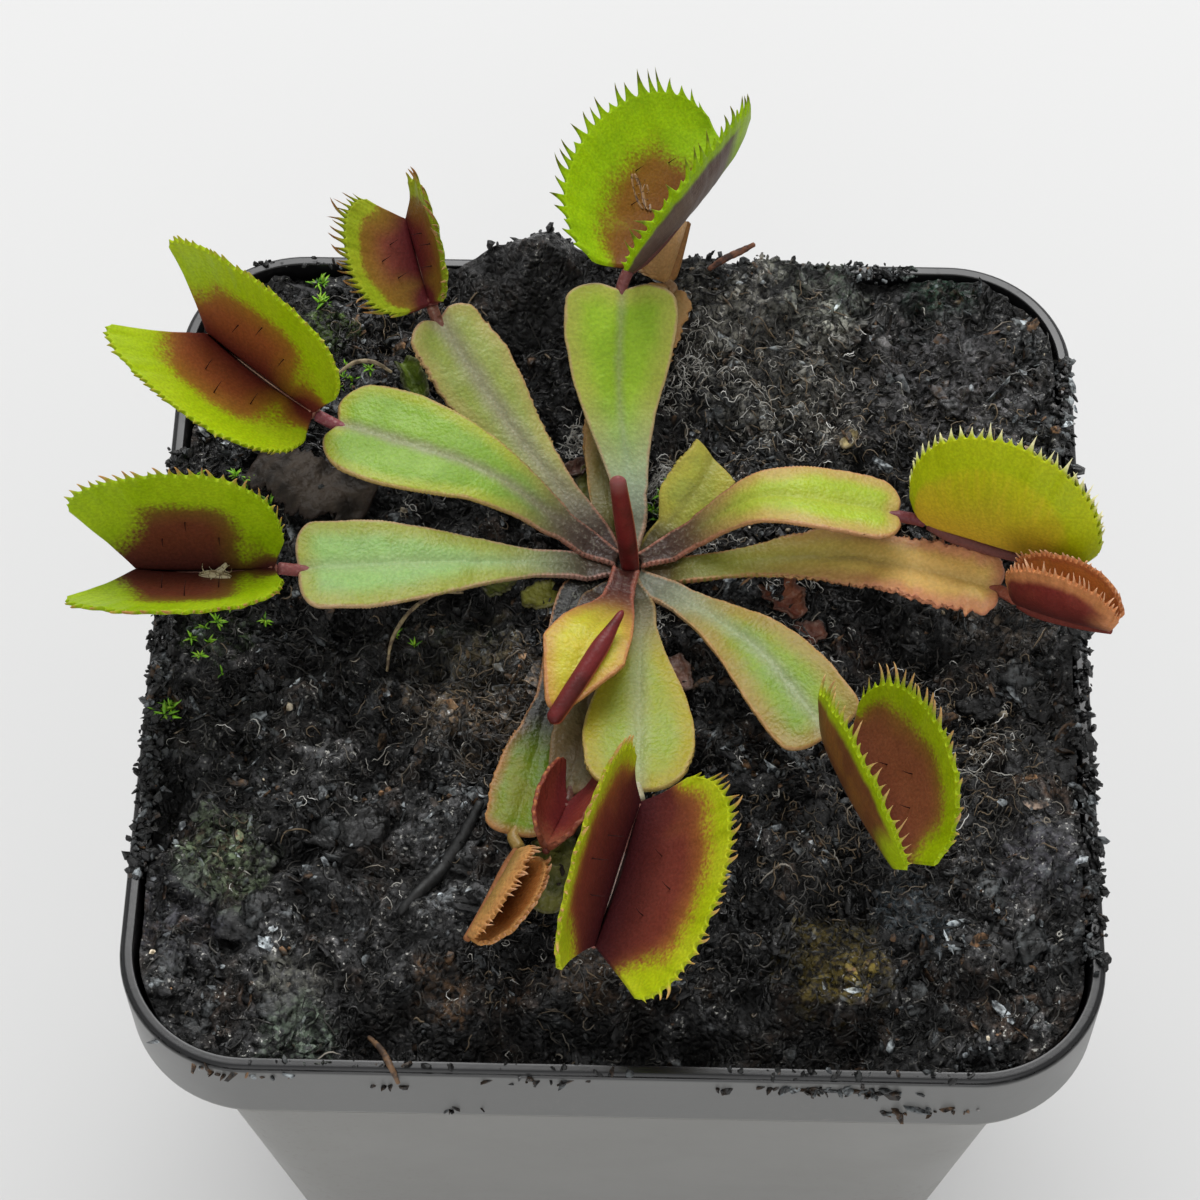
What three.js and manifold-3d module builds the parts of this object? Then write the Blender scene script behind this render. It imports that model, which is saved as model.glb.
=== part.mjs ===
// Venus flytrap in a square nursery pot: a rosette of snap-trap leaves on a short crown, in peat.
// Millimetres, +Z up. The origin is the centre of the pot's base, and -Y is the pot's front.
import * as THREE from 'three';
import { mergeVertices } from 'three/addons/utils/BufferGeometryUtils.js';
import Module from 'manifold-3d';

const wasm = await Module();
wasm.setup();

// Pot: a square pot with rounded corners, a tapered body and a deeper band round its rim.
const potHeight = 80;
const rimHalf = 35;
const rimCorner = 9.5;
const rimDepth = 8;
const bodyTopHalf = 32.5;
const bodyTopCorner = 7.6;
const baseHalf = 24;
const baseCorner = 5;
const wall = 1;
const floorThickness = 1.6;
const drainRadius = 3.5;
const drainOffset = 14;
const clearance = 0.3;

// Peat: its level at the rim, and the mounds that stand on that level.
const peatLevel = 79;
const peatMounds = [
  { at: [0.6, 4], height: 1.9, spread: [11, 11] },   // under the plant
  { at: [-8, 32], height: 4.2, spread: [3.4, 4] },   // hump at the back
  { at: [3, 33], height: 3.6, spread: [11, 5] },     // back edge
  { at: [34, 6], height: 2.2, spread: [7, 18] },     // right edge
  { at: [0, -36], height: -1.6, spread: [34, 5] },   // dip behind the front rim
  { at: [-22, -6], height: 0.8, spread: [9, 12] },
];
const peatRipples = [
  { height: 0.32, x: 0.62, y: 0.35, shift: 0.4 },
  { height: 0.28, x: -0.4, y: 0.71, shift: 1.9 },
  { height: 0.22, x: 1.1, y: -0.8, shift: 3.1 },
];

// Crown: the short stem that the leaves grow from, in a pit in the peat.
const crownAt = [0.6, 5.4];
const crownRadius = 2.4;
const crownTop = 81.2;
const pitFloor = 75;
const pitRadius = 4.6;
const stemCircle = 3.4;
const stemTop = 81.6;
const stemWidth = 1;

// Blades are thicker than life at their edges, so that they stay solid.
const bladeEdge = 0.6;
const bladeMiddle = 1;
const ribRadius = 0.5;
const lobeThickness = 0.65;
const spineShare = 0.5;

// Leaves. stem is the angle on the crown where the leaf rises, in degrees, and rise is how much
// higher its collar is than stemTop. mid and end are points on the stalk's blade. neck and wide
// are its widths, peak is how far along it is widest, square is its end's width as a share of
// wide, notch is how far its shoulders pass its end, roll turns it about its length and ruffle
// waves its edges. A trap's rib runs from start to finish, and its two lobes lean at their angles
// from upright. heel and toe are a lobe's two corners, along the rib past its ends and out from
// it, depth is its reach, spine is the length of its teeth and bow is how far it swells.
const leaves = [
  {
    name: 'leaf_back', colour: 0x8fae45, stem: 88, rise: 0.6,
    mid: [-0.3, 17.5, 86], end: [-0.3, 25.3, 89.8],
    neck: 2.4, wide: 8.6, peak: 0.86, square: 0.5, notch: 0.5, roll: 0, ruffle: 0.1,
    trap: {
      start: [0.3, 26.6, 90.4], finish: [7.8, 38.4, 90], lobes: [-59, 15],
      heel: [-1.8, 2.2], toe: [0.8, 2.8], depth: 9.1, spine: 1.3, bow: 0.9,
    },
  },
  {
    name: 'leaf_back_left', colour: 0x8a9a55, stem: 133, rise: 0,
    mid: [-8.8, 16, 84.8], end: [-14.4, 23.6, 87.8],
    neck: 1.8, wide: 6.6, peak: 0.82, square: 0.55, notch: 0.4, roll: 0, ruffle: 0.25,
    trap: {
      start: [-14.8, 24.4, 88.3], finish: [-16.8, 30.4, 91], lobes: [-65, 11],
      heel: [-0.4, 2.4], toe: [2, 3], depth: 6, spine: 1.1, bow: 0.5,
    },
  },
  {
    name: 'leaf_left_upper', colour: 0x8db04c, stem: 156, rise: 0.8,
    mid: [-9.9, 10, 87], end: [-21.6, 13.8, 87.8],
    neck: 2.6, wide: 8.4, peak: 0.82, square: 0.5, notch: 0.4, roll: 0, ruffle: 0.15,
    trap: {
      start: [-23.2, 14.5, 88], finish: [-31.3, 19.9, 90.4], lobes: [-60, 8],
      heel: [-1.2, 3.3], toe: [5, 6.3], depth: 9.6, spine: 0.6, bow: 0.6,
    },
  },
  {
    name: 'leaf_left_lower', colour: 0x86a84a, stem: 188, rise: 0.4,
    mid: [-12.6, 3.2, 85.4], end: [-23.6, 1.5, 87],
    neck: 1.8, wide: 7.6, peak: 0.84, square: 0.55, notch: 0.2, roll: 0, ruffle: 0.12,
    trap: {
      start: [-25.2, 1.2, 87.5], finish: [-35.2, 0.7, 87.8], lobes: [-50, 15],
      heel: [-0.7, 2.3], toe: [4.4, 5.8], depth: 9.2, spine: 0.9, bow: 0.5,
    },
  },
  {
    name: 'leaf_right_upper', colour: 0x9db23c, stem: 20, rise: 0.8,
    mid: [10.4, 7.7, 88], end: [20.6, 7.1, 87],
    neck: 2.4, wide: 5.6, peak: 0.8, square: 0.6, notch: 0.1, roll: -14, ruffle: 0.1,
    trap: {
      start: [22.9, 7, 86], finish: [33.2, 2.2, 88.2], lobes: [-32, -14],
      heel: [-1.5, 1.6], toe: [1.6, 1.6], depth: 9.6, spine: 1.2, bow: 1.3,
    },
  },
  {
    name: 'leaf_right_lower', colour: 0xa58a45, stem: 352, rise: 0,
    mid: [16, 5.2, 84], end: [28, 2, 85],
    neck: 2, wide: 5.2, peak: 0.7, square: 0.75, notch: 0, roll: 0, ruffle: 0.45,
    trap: {
      start: [29.3, 0.4, 86], finish: [35.4, -3, 88.4], lobes: [-24, 14],
      heel: [-0.2, 2.3], toe: [1, 1.2], depth: 5, spine: 0.6, bow: 0.8,
    },
  },
  {
    name: 'leaf_front_right', colour: 0x8ca552, stem: 318, rise: 0.2,
    mid: [9.9, -3.6, 85.5], end: [15.2, -11.2, 86.3],
    neck: 2.2, wide: 7, peak: 0.8, square: 0.5, notch: 0.3, roll: 0, ruffle: 0.2,
    trap: {
      start: [15.8, -12.7, 86.5], finish: [19.5, -22.3, 89], lobes: [-36, 8],
      heel: [-1.3, 3.6], toe: [3, 2.7], depth: 8.8, spine: 1.1, bow: 1,
    },
  },
  {
    name: 'leaf_front', colour: 0x8fae50, stem: 282, rise: 0.2,
    mid: [1.6, -7.3, 84.8], end: [1.6, -16.2, 87],
    neck: 1.8, wide: 8, peak: 0.74, square: 0.5, notch: 0, roll: 0, ruffle: 0.1,
    trap: {
      start: [1.7, -17.4, 87.5], finish: [-1.2, -27.8, 86.2], lobes: [-51, 10],
      heel: [-1.9, 3.9], toe: [3.8, 5.3], depth: 10, spine: 0.9, bow: 0.7,
    },
  },
  {
    name: 'leaf_small_front', colour: 0x7a6a4a, stem: 236, rise: -0.2,
    mid: [-2.3, -9.3, 83.8], end: [-3.3, -15.2, 84.4],
    neck: 1.4, wide: 4.4, peak: 0.7, square: 0.5, notch: 0, roll: 0, ruffle: 0.15,
    trap: {
      start: [-3.4, -16.1, 84.4], finish: [-4.7, -20.4, 86.2], lobes: [-42, 34],
      heel: [-2.6, 1.9], toe: [0, 0.7], depth: 3.2, spine: 0.3, bow: 0.3,
    },
  },
  {
    name: 'leaf_old_front', colour: 0x7f8a38, stem: 213, rise: -0.3,
    mid: [-6.3, -10, 82.4], end: [-7.2, -17.9, 83],
    neck: 1.4, wide: 5, peak: 0.82, square: 0.6, notch: 0, roll: 0, ruffle: 0.3,
    trap: {
      start: [-6.7, -19.2, 83], finish: [-9.9, -26.6, 84.4], lobes: [-55, -20],
      heel: [0.8, 1.8], toe: [0.6, 1.2], depth: 4.3, spine: 1, bow: 0.4,
    },
  },
  {
    name: 'leaf_old_back', colour: 0x8d7a45, stem: 111, rise: -0.3,
    mid: [-1.5, 16, 82.6], end: [3.6, 29.4, 84],
    neck: 1.6, wide: 4.8, peak: 0.7, square: 0.6, notch: 0, roll: 0, ruffle: 0.4,
    trap: {
      start: [3, 30.2, 84], finish: [4.4, 33.6, 87], lobes: [-70, -30],
      heel: [0, 1], toe: [0.3, 1], depth: 3.4, spine: 0.9, bow: 0.5,
    },
  },
  {
    name: 'leaf_old_right', colour: 0xa3a83f, stem: 46, rise: -0.2,
    mid: [6.1, 12.1, 83.4], end: [7.6, 15, 84.2],
    neck: 1.6, wide: 5, peak: 0.45, square: 0.2, notch: 0, roll: 20, ruffle: 0.1,
  },
];

// Young leaf whose trap is still folded back over its own stalk blade.
const foldedLeaf = {
  name: 'leaf_young_folded', colour: 0xb5a63a, stem: 259, rise: 1.4,
  mid: [-1.8, -4.1, 87.9], end: [-4.4, -10.4, 88],
  neck: 3.2, wide: 6.4, peak: 0.55, square: 0.16, notch: 0, roll: 0, ruffle: 0,
};
const foldedTrap = { route: [[-4.6, -11.4, 87.7], [-2.4, -7.2, 88.9], [0.3, -3, 89.4]], radius: 0.75 };

// Youngest leaf, rolled into an upright rod over the middle of the crown.
const rolledLeaf = { route: [[0.8, 4.9, 81.7], [0.4, 5.6, 86], [-0.3, 7, 91.6]], radius: 0.72 };

// Dead leaves that lie on the peat, each on a line between two points.
const litter = [
  { name: 'dead_leaf_left', colour: 0x3b2d26, from: [-28.5, 15.2], to: [-19.5, 11], wide: 5.4 },
  { name: 'dead_leaf_front', colour: 0x4a452c, from: [-0.8, -13.6], to: [-2.8, -21], wide: 3.4 },
];
const litterLift = 1.15;

const random = seededRandom(7);

function seededRandom(seed) {
  let state = seed;
  return () => {
    state = (state * 1664525 + 1013904223) % 4294967296;
    return state / 4294967296;
  };
}

function vector(list) {
  return new THREE.Vector3(...list);
}

function peatHeight(x, y) {
  let z = peatLevel;
  for (const mound of peatMounds) {
    const across = (x - mound.at[0]) / mound.spread[0];
    const away = (y - mound.at[1]) / mound.spread[1];
    z += mound.height * Math.exp(-(across * across + away * away) / 2);
  }
  for (const ripple of peatRipples) {
    z += ripple.height * Math.sin(ripple.x * x + ripple.y * y + ripple.shift);
  }
  return z;
}

// A solid for joining and cutting, from a closed geometry.
function toSolid(geometry) {
  const bare = geometry.clone();
  bare.deleteAttribute('normal');
  bare.deleteAttribute('uv');
  const merged = mergeVertices(bare, 1e-5);
  return new wasm.Manifold(new wasm.Mesh({
    numProp: 3,
    vertProperties: new Float32Array(merged.attributes.position.array),
    triVerts: new Uint32Array(merged.index.array),
  }));
}

function toGeometry(solid) {
  const mesh = solid.getMesh();
  const geometry = new THREE.BufferGeometry();
  geometry.setAttribute('position', new THREE.BufferAttribute(new Float32Array(mesh.vertProperties), 3));
  geometry.setIndex(new THREE.BufferAttribute(new Uint32Array(mesh.triVerts), 1));
  geometry.computeVertexNormals();
  return geometry;
}

function indexed(points, faces) {
  const geometry = new THREE.BufferGeometry().setFromPoints(points);
  geometry.setIndex(faces.flat());
  geometry.computeVertexNormals();
  return geometry;
}

// A closed body through rings of points that run anticlockwise as seen from its last ring.
function loft(rings) {
  const count = rings[0].length;
  const points = rings.flat();
  const faces = [];
  for (let ring = 0; ring < rings.length - 1; ring++) {
    for (let i = 0; i < count; i++) {
      const a = ring * count + i;
      const b = ring * count + (i + 1) % count;
      faces.push([a, b, b + count], [a, b + count, a + count]);
    }
  }
  const last = (rings.length - 1) * count;
  for (const [ring, turn] of [[rings[0], 1], [rings.at(-1), -1]]) {
    const centre = ring.reduce((sum, point) => sum.add(point), new THREE.Vector3());
    points.push(centre.divideScalar(count));
    for (let i = 0; i < count; i++) {
      const start = turn > 0 ? 0 : last;
      const a = start + i;
      const b = start + (i + 1) % count;
      faces.push(turn > 0 ? [b, a, points.length - 1] : [a, b, points.length - 1]);
    }
  }
  return indexed(points, faces);
}

// A square outline with round corners, with extra points along its sides.
function squareRing(half, corner, z, sideSteps) {
  const cornerSteps = 5;
  const straight = half - corner;
  const ring = [];
  for (let side = 0; side < 4; side++) {
    const turn = side * Math.PI / 2;
    for (let i = 0; i <= cornerSteps; i++) {
      const angle = turn + i / cornerSteps * Math.PI / 2;
      const centre = new THREE.Vector2(straight, straight).rotateAround(new THREE.Vector2(), turn);
      ring.push(new THREE.Vector3(
        centre.x + corner * Math.cos(angle), centre.y + corner * Math.sin(angle), z));
    }
    for (let i = 1; i < sideSteps; i++) {
      const offset = new THREE.Vector2(straight - 2 * straight * i / sideSteps, half);
      offset.rotateAround(new THREE.Vector2(), turn);
      ring.push(new THREE.Vector3(offset.x, offset.y, z));
    }
  }
  return ring;
}

// A thin closed body over a surface point(u, v), split alike on both faces. Where spine is given,
// its v = 1 edge carries one tooth in the middle of each column.
function blade(columns, rows, point, thickness, spine) {
  const step = 0.01;
  const limit = (value) => Math.min(Math.max(value, 0), 1);
  const slope = (u, v, du, dv) => (
    point(limit(u + du), limit(v + dv)).sub(point(limit(u - du), limit(v - dv)))
  );
  const points = [];
  const addPair = (u, v) => {
    const normal = slope(u, v, step, 0).cross(slope(u, v, 0, step)).setLength(thickness(u, v) / 2);
    points.push(point(u, v).add(normal), point(u, v).sub(normal));
    return points.length - 2;
  };
  for (let i = 0; i <= columns; i++) {
    for (let j = 0; j <= rows; j++) {
      addPair(i / columns, j / rows);
    }
  }
  const top = (i, j) => 2 * (i * (rows + 1) + j);
  const faces = [];
  // Corners are top vertices in the order that they turn on the top face; each one's twin is next.
  const addFace = (a, b, c) => faces.push([a, b, c], [a + 1, c + 1, b + 1]);
  const addEdge = (a, b) => faces.push([b, a, a + 1], [b, a + 1, b + 1]);
  for (let i = 0; i < columns; i++) {
    for (let j = 0; j < rows - 1; j++) {
      addFace(top(i, j), top(i + 1, j), top(i + 1, j + 1));
      addFace(top(i, j), top(i + 1, j + 1), top(i, j + 1));
    }
    addEdge(top(i, 0), top(i + 1, 0));
    const margin = [top(i + 1, rows), top(i, rows)];
    if (spine) {
      margin.splice(1, 0, addPair((i + 0.5 + spineShare / 2) / columns, 1));
      margin.splice(2, 0, addPair((i + 0.5 - spineShare / 2) / columns, 1));
    }
    addFace(top(i, rows - 1), top(i + 1, rows - 1), margin[0]);
    for (let k = 0; k < margin.length - 1; k++) {
      addFace(top(i, rows - 1), margin[k], margin[k + 1]);
      if (k !== 1) {
        addEdge(margin[k], margin[k + 1]);
      }
    }
    if (spine) {
      const u = (i + 0.5) / columns;
      const reach = slope(u, 1, 0, step).setLength(spine * (0.75 + 0.4 * random()));
      const lean = slope(u, 1, step, 0).setLength(0.4 * (random() - 0.5));
      const tip = points.push(point(u, 1).add(reach).add(lean)) - 1;
      const root = [margin[2], margin[1], margin[1] + 1, margin[2] + 1];
      root.forEach((corner, k) => faces.push([corner, root[(k + 1) % 4], tip]));
    }
  }
  for (let j = 0; j < rows; j++) {
    addEdge(top(0, j + 1), top(0, j));
    addEdge(top(columns, j), top(columns, j + 1));
  }
  return indexed(points, faces);
}

// A round rod along a smooth route, thinned towards both ends.
function rod(route, radius, sides) {
  const path = new THREE.CatmullRomCurve3(route.map(vector));
  const stations = 9;
  const rings = [];
  const across = new THREE.Vector3(1, 0, 0);
  for (let i = 0; i < stations; i++) {
    const t = i / (stations - 1);
    const along = path.getTangent(t);
    const first = across.clone().projectOnPlane(along).normalize();
    const second = along.clone().cross(first);
    const size = radius * Math.pow(Math.sin(Math.PI * (0.12 + 0.76 * t)), 0.45);
    const ring = [];
    for (let k = 0; k < sides; k++) {
      const angle = 2 * Math.PI * k / sides;
      ring.push(path.getPoint(t)
        .addScaledVector(first, size * Math.cos(angle))
        .addScaledVector(second, size * Math.sin(angle)));
    }
    rings.push(ring);
  }
  return loft(rings);
}

// The leaf stalk: a round stem out of the crown's pit that opens into a flat blade.
function stalkBlade(leaf) {
  const angle = THREE.MathUtils.degToRad(leaf.stem);
  const outward = new THREE.Vector3(Math.cos(angle), Math.sin(angle), 0);
  const root = new THREE.Vector3(...crownAt, pitFloor + clearance).addScaledVector(outward, stemCircle);
  const collar = root.clone().setZ(stemTop + leaf.rise);
  const shoulder = collar.clone().addScaledVector(outward, 1.2).add(new THREE.Vector3(0, 0, 0.7));
  const end = vector(leaf.end);
  const path = new THREE.CatmullRomCurve3([collar, shoulder, vector(leaf.mid), end], false, 'centripetal');
  const stemShare = 0.1;
  const startSide = new THREE.Vector3(-Math.sin(angle), Math.cos(angle), 0);
  const heading = end.clone().sub(collar);
  const endSide = new THREE.Vector3(-heading.y, heading.x, 0).normalize();

  const halfWidth = (b) => {
    const neck = THREE.MathUtils.lerp(stemWidth, leaf.neck, Math.min(b / 0.15, 1)) / 2;
    if (b < leaf.peak) {
      const opened = Math.pow(THREE.MathUtils.smoothstep(b, 0, leaf.peak), 1.15);
      return THREE.MathUtils.lerp(neck, leaf.wide / 2, opened);
    }
    const past = (b - leaf.peak) / (1 - leaf.peak);
    return leaf.wide / 2 * Math.sqrt(1 - past * past * (1 - leaf.square * leaf.square));
  };
  const point = (u, v) => {
    const across = 2 * v - 1;
    if (u < stemShare) {
      return root.clone().lerp(collar, u / stemShare).addScaledVector(startSide, across * stemWidth / 2);
    }
    const b = (u - stemShare) / (1 - stemShare);
    const along = path.getTangentAt(b);
    const side = startSide.clone().lerp(endSide, Math.min(2 * b, 1)).projectOnPlane(along).normalize();
    side.applyAxisAngle(along, THREE.MathUtils.degToRad(leaf.roll) * b);
    const up = along.clone().cross(side);
    const edge = across * across;
    return path.getPointAt(b)
      .addScaledVector(side, across * halfWidth(b))
      .addScaledVector(up, edge * b * (0.06 * leaf.wide + leaf.ruffle * Math.sin(14 * b + 2 * across)))
      .addScaledVector(along, leaf.notch * edge * Math.pow(b, 4));
  };
  const thickness = (u, v) => {
    const edge = THREE.MathUtils.lerp(stemWidth, bladeEdge, THREE.MathUtils.smoothstep(u, stemShare, 0.3));
    return THREE.MathUtils.lerp(bladeMiddle, edge, Math.abs(2 * v - 1));
  };
  return { geometry: blade(10, 4, point, thickness), path };
}

// One lobe of a trap, from the rib out to its toothed margin, bowed away from the other lobe.
function lobe(trap, lean, outward) {
  const start = vector(trap.start);
  const along = vector(trap.finish).sub(start);
  const length = along.length();
  along.normalize();
  const up = new THREE.Vector3(0, 0, 1).projectOnPlane(along).normalize();
  const sideways = along.clone().cross(up);
  const angle = THREE.MathUtils.degToRad(lean);
  const reach = up.clone().multiplyScalar(Math.cos(angle)).addScaledVector(sideways, Math.sin(angle));
  const back = sideways.clone().multiplyScalar(Math.cos(angle)).addScaledVector(up, -Math.sin(angle));
  const point = (u, v) => {
    const t = (1 - Math.cos(Math.PI * u)) / 2;
    const crest = Math.pow(Math.max(Math.sin(Math.PI * u), 0), 0.8);
    const chord = THREE.MathUtils.lerp(trap.heel[1], trap.toe[1], t);
    const margin = start.clone()
      .addScaledVector(along, THREE.MathUtils.lerp(trap.heel[0], length + trap.toe[0], t))
      .addScaledVector(reach, chord + (trap.depth - chord) * crest);
    return ribPoint(trap, u).lerp(margin, v)
      .addScaledVector(back, outward * trap.bow * Math.sin(Math.PI * v) * (0.3 + 0.7 * crest));
  };
  const columns = Math.max(7, Math.round(1.2 * trap.depth));
  return blade(columns, trap.depth > 7 ? 3 : 2, point, () => lobeThickness, trap.spine);
}

// The rib between a trap's lobes sags a little between its ends.
function ribPoint(trap, u) {
  const start = vector(trap.start);
  const finish = vector(trap.finish);
  const sag = 0.05 * start.distanceTo(finish);
  const place = start.lerp(finish, u);
  place.z -= 4 * sag * u * (1 - u);
  return place;
}

function ribRod(path, trap) {
  const route = [path.getPointAt(0.8), path.getPointAt(0.97)];
  for (const u of [0, 0.35, 0.7, 0.97]) {
    route.push(ribPoint(trap, u));
  }
  const section = new THREE.Shape().absarc(0, 0, ribRadius, 0, 2 * Math.PI);
  return new THREE.ExtrudeGeometry(section, {
    steps: 8, curveSegments: 5, bevelEnabled: false, extrudePath: new THREE.CatmullRomCurve3(route),
  });
}

function makeLeaf(leaf) {
  const stalk = stalkBlade(leaf);
  let solid = toSolid(stalk.geometry);
  if (leaf.trap) {
    const [low, high] = leaf.trap.lobes;
    solid = solid.add(toSolid(ribRod(stalk.path, leaf.trap)));
    solid = solid.add(toSolid(lobe(leaf.trap, low, -1)));
    solid = solid.add(toSolid(lobe(leaf.trap, high, 1)));
  }
  return toGeometry(solid);
}

function makeFoldedLeaf() {
  const stalk = toSolid(stalkBlade(foldedLeaf).geometry);
  return toGeometry(stalk.add(toSolid(rod(foldedTrap.route, foldedTrap.radius, 7))));
}

function makeLitter(piece) {
  const from = new THREE.Vector2(...piece.from);
  const to = new THREE.Vector2(...piece.to);
  const side = to.clone().sub(from).normalize().rotateAround(new THREE.Vector2(), Math.PI / 2);
  const point = (u, v) => {
    const half = piece.wide / 2 * (0.45 + 0.55 * Math.sin(Math.PI * (0.15 + 0.7 * u)));
    const flat = from.clone().lerp(to, u).addScaledVector(side, (2 * v - 1) * half);
    return new THREE.Vector3(flat.x, flat.y, peatHeight(flat.x, flat.y) + litterLift);
  };
  return blade(6, 3, point, () => bladeEdge);
}

function makePot() {
  const bandFoot = potHeight - rimDepth;
  const lip = 0.6;
  const profile = [
    [baseHalf, baseCorner, 0],
    [bodyTopHalf, bodyTopCorner, bandFoot],
    [rimHalf - lip / 2, rimCorner - lip / 2, bandFoot],
    [rimHalf, rimCorner, bandFoot + lip],
    [rimHalf, rimCorner, potHeight - lip],
    [rimHalf - lip, rimCorner - lip, potHeight],
    [rimHalf - wall, rimCorner - wall, potHeight - lip / 2],
    [rimHalf - wall - 0.1, rimCorner - wall - 0.1, bandFoot + wall],
    [bodyTopHalf - wall, bodyTopCorner - wall, bandFoot + wall / 2],
    [baseHalf - wall, baseCorner - wall, floorThickness],
  ];
  let pot = toSolid(loft(profile.map(([half, corner, z]) => squareRing(half, corner, z, 1))));
  for (const x of [-drainOffset, drainOffset]) {
    for (const y of [-drainOffset, drainOffset]) {
      const drill = new THREE.CylinderGeometry(drainRadius, drainRadius, 3 * floorThickness, 12);
      drill.rotateX(Math.PI / 2);
      drill.translate(x, y, floorThickness / 2);
      pot = pot.subtract(toSolid(drill));
    }
  }
  return toGeometry(pot);
}

function makePeat() {
  const bandFoot = potHeight - rimDepth;
  const sideSteps = 6;
  const topHalf = rimHalf - wall - 0.1 - clearance;
  const topCorner = rimCorner - wall - 0.1 - clearance;
  const shape = [
    [baseHalf - wall - clearance, baseCorner - wall - clearance, floorThickness + clearance],
    [bodyTopHalf - wall - clearance, bodyTopCorner - wall - clearance, bandFoot + wall / 2 + clearance],
    [topHalf, topCorner, bandFoot + wall + clearance],
  ];
  const rings = shape.map(([half, corner, z]) => squareRing(half, corner, z, sideSteps));
  const surfaceRings = 10;
  for (let i = 0; i < surfaceRings; i++) {
    const share = 1 - i / surfaceRings;
    const ring = squareRing(topHalf * share, topCorner * share, 0, sideSteps);
    ring.forEach((point) => {
      point.z = peatHeight(point.x, point.y);
    });
    rings.push(ring);
  }
  const pit = new THREE.CylinderGeometry(pitRadius, pitRadius, 20, 20);
  pit.rotateX(Math.PI / 2);
  pit.translate(...crownAt, pitFloor + 10);
  return toGeometry(toSolid(loft(rings)).subtract(toSolid(pit)));
}

function makeCrown() {
  const profile = [
    [0, pitFloor + clearance], [0.7 * crownRadius, pitFloor + clearance], [crownRadius, pitFloor + 1.6],
    [crownRadius, crownTop - 1.6], [0.6 * crownRadius, crownTop - 0.3], [0, crownTop],
  ];
  const crown = new THREE.LatheGeometry(profile.map(([r, z]) => new THREE.Vector2(r, z)), 14);
  crown.rotateX(Math.PI / 2);
  crown.translate(...crownAt, 0);
  return toGeometry(toSolid(crown));
}

const group = new THREE.Group();

function place(name, geometry, colour, roughness) {
  const material = new THREE.MeshStandardMaterial({ color: colour, roughness, metalness: 0 });
  const mesh = new THREE.Mesh(geometry, material);
  mesh.name = name;
  group.add(mesh);
}

place('pot', makePot(), 0x2a2b2d, 0.45);
place('peat', makePeat(), 0x242322, 0.95);
place('crown', makeCrown(), 0x6d5340, 0.7);
for (const leaf of leaves) {
  place(leaf.name, makeLeaf(leaf), leaf.colour, 0.5);
}
place(foldedLeaf.name, makeFoldedLeaf(), foldedLeaf.colour, 0.5);
place('leaf_young_rolled', rod(rolledLeaf.route, rolledLeaf.radius, 8), 0x6e1f2b, 0.5);
for (const piece of litter) {
  place(piece.name, makeLitter(piece), piece.colour, 0.9);
}

export default group;
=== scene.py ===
import math
import random

import bmesh
import bpy
import numpy as np
from mathutils import Matrix, Vector, noise


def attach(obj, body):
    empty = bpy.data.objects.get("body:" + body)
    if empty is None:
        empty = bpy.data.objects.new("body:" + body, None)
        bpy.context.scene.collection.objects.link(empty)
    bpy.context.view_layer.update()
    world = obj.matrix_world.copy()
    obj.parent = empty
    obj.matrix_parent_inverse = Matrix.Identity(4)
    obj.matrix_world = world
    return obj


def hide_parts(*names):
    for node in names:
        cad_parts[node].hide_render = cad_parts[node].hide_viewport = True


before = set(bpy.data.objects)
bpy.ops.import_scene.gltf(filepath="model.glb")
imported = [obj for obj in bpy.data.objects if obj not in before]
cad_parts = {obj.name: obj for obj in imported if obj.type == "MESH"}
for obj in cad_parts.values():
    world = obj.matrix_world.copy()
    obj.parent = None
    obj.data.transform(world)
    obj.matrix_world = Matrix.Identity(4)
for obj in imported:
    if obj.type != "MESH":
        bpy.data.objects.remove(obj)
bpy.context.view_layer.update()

print("frame loaded with", len(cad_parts), "nodes")

# Sizes here are in millimetres, as a maker of small pots would note them. buildPiece turns them into metres.
toMetres = 0.001


# shapes: rows of points into closed shells

def unit(v):
    return v / (np.linalg.norm(v, axis=-1, keepdims=True) + 1e-12)


def smooth(low, high, value):
    t = np.clip((value - low) / (high - low), 0, 1)
    return t * t * (3 - 2 * t)


def mix(a, b, share):
    return a + (b - a) * share


def smoothRoute(points, steps=60):
    # a centripetal curve through the points, as fine straight steps
    points = np.asarray(points, float)
    padded = np.vstack([2 * points[0] - points[1], points, 2 * points[-1] - points[-2]])
    parts = []
    for k in range(len(points) - 1):
        p0, p1, p2, p3 = padded[k:k + 4]
        d0, d1, d2 = [math.sqrt(np.linalg.norm(b - a)) for a, b in ((p0, p1), (p1, p2), (p2, p3))]
        t1 = ((p1 - p0) / d0 - (p2 - p0) / (d0 + d1) + (p2 - p1) / d1) * d1
        t2 = ((p2 - p1) / d1 - (p3 - p1) / (d1 + d2) + (p3 - p2) / d2) * d1
        t = np.linspace(0, 1, steps, endpoint=False)[:, None]
        parts.append(p1 + t1 * t + (3 * (p2 - p1) - 2 * t1 - t2) * t**2 + (2 * (p1 - p2) + t1 + t2) * t**3)
    parts.append(points[-1:])
    return np.vstack(parts)


def alongRoute(route, share):
    # places and headings at shares of the route's length
    steps = np.linalg.norm(np.diff(route, axis=0), axis=1)
    length = np.concatenate([[0], np.cumsum(steps)])
    heading = unit(np.gradient(route, axis=0))
    at = np.asarray(share, float) * length[-1]
    place = np.stack([np.interp(at, length, route[:, i]) for i in range(3)], -1)
    way = np.stack([np.interp(at, length, heading[:, i]) for i in range(3)], -1)
    return place, unit(way)


def gridQuads(index):
    return np.stack([index[:-1, :-1], index[1:, :-1], index[1:, 1:], index[:-1, 1:]], -1).reshape(-1, 4)


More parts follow.
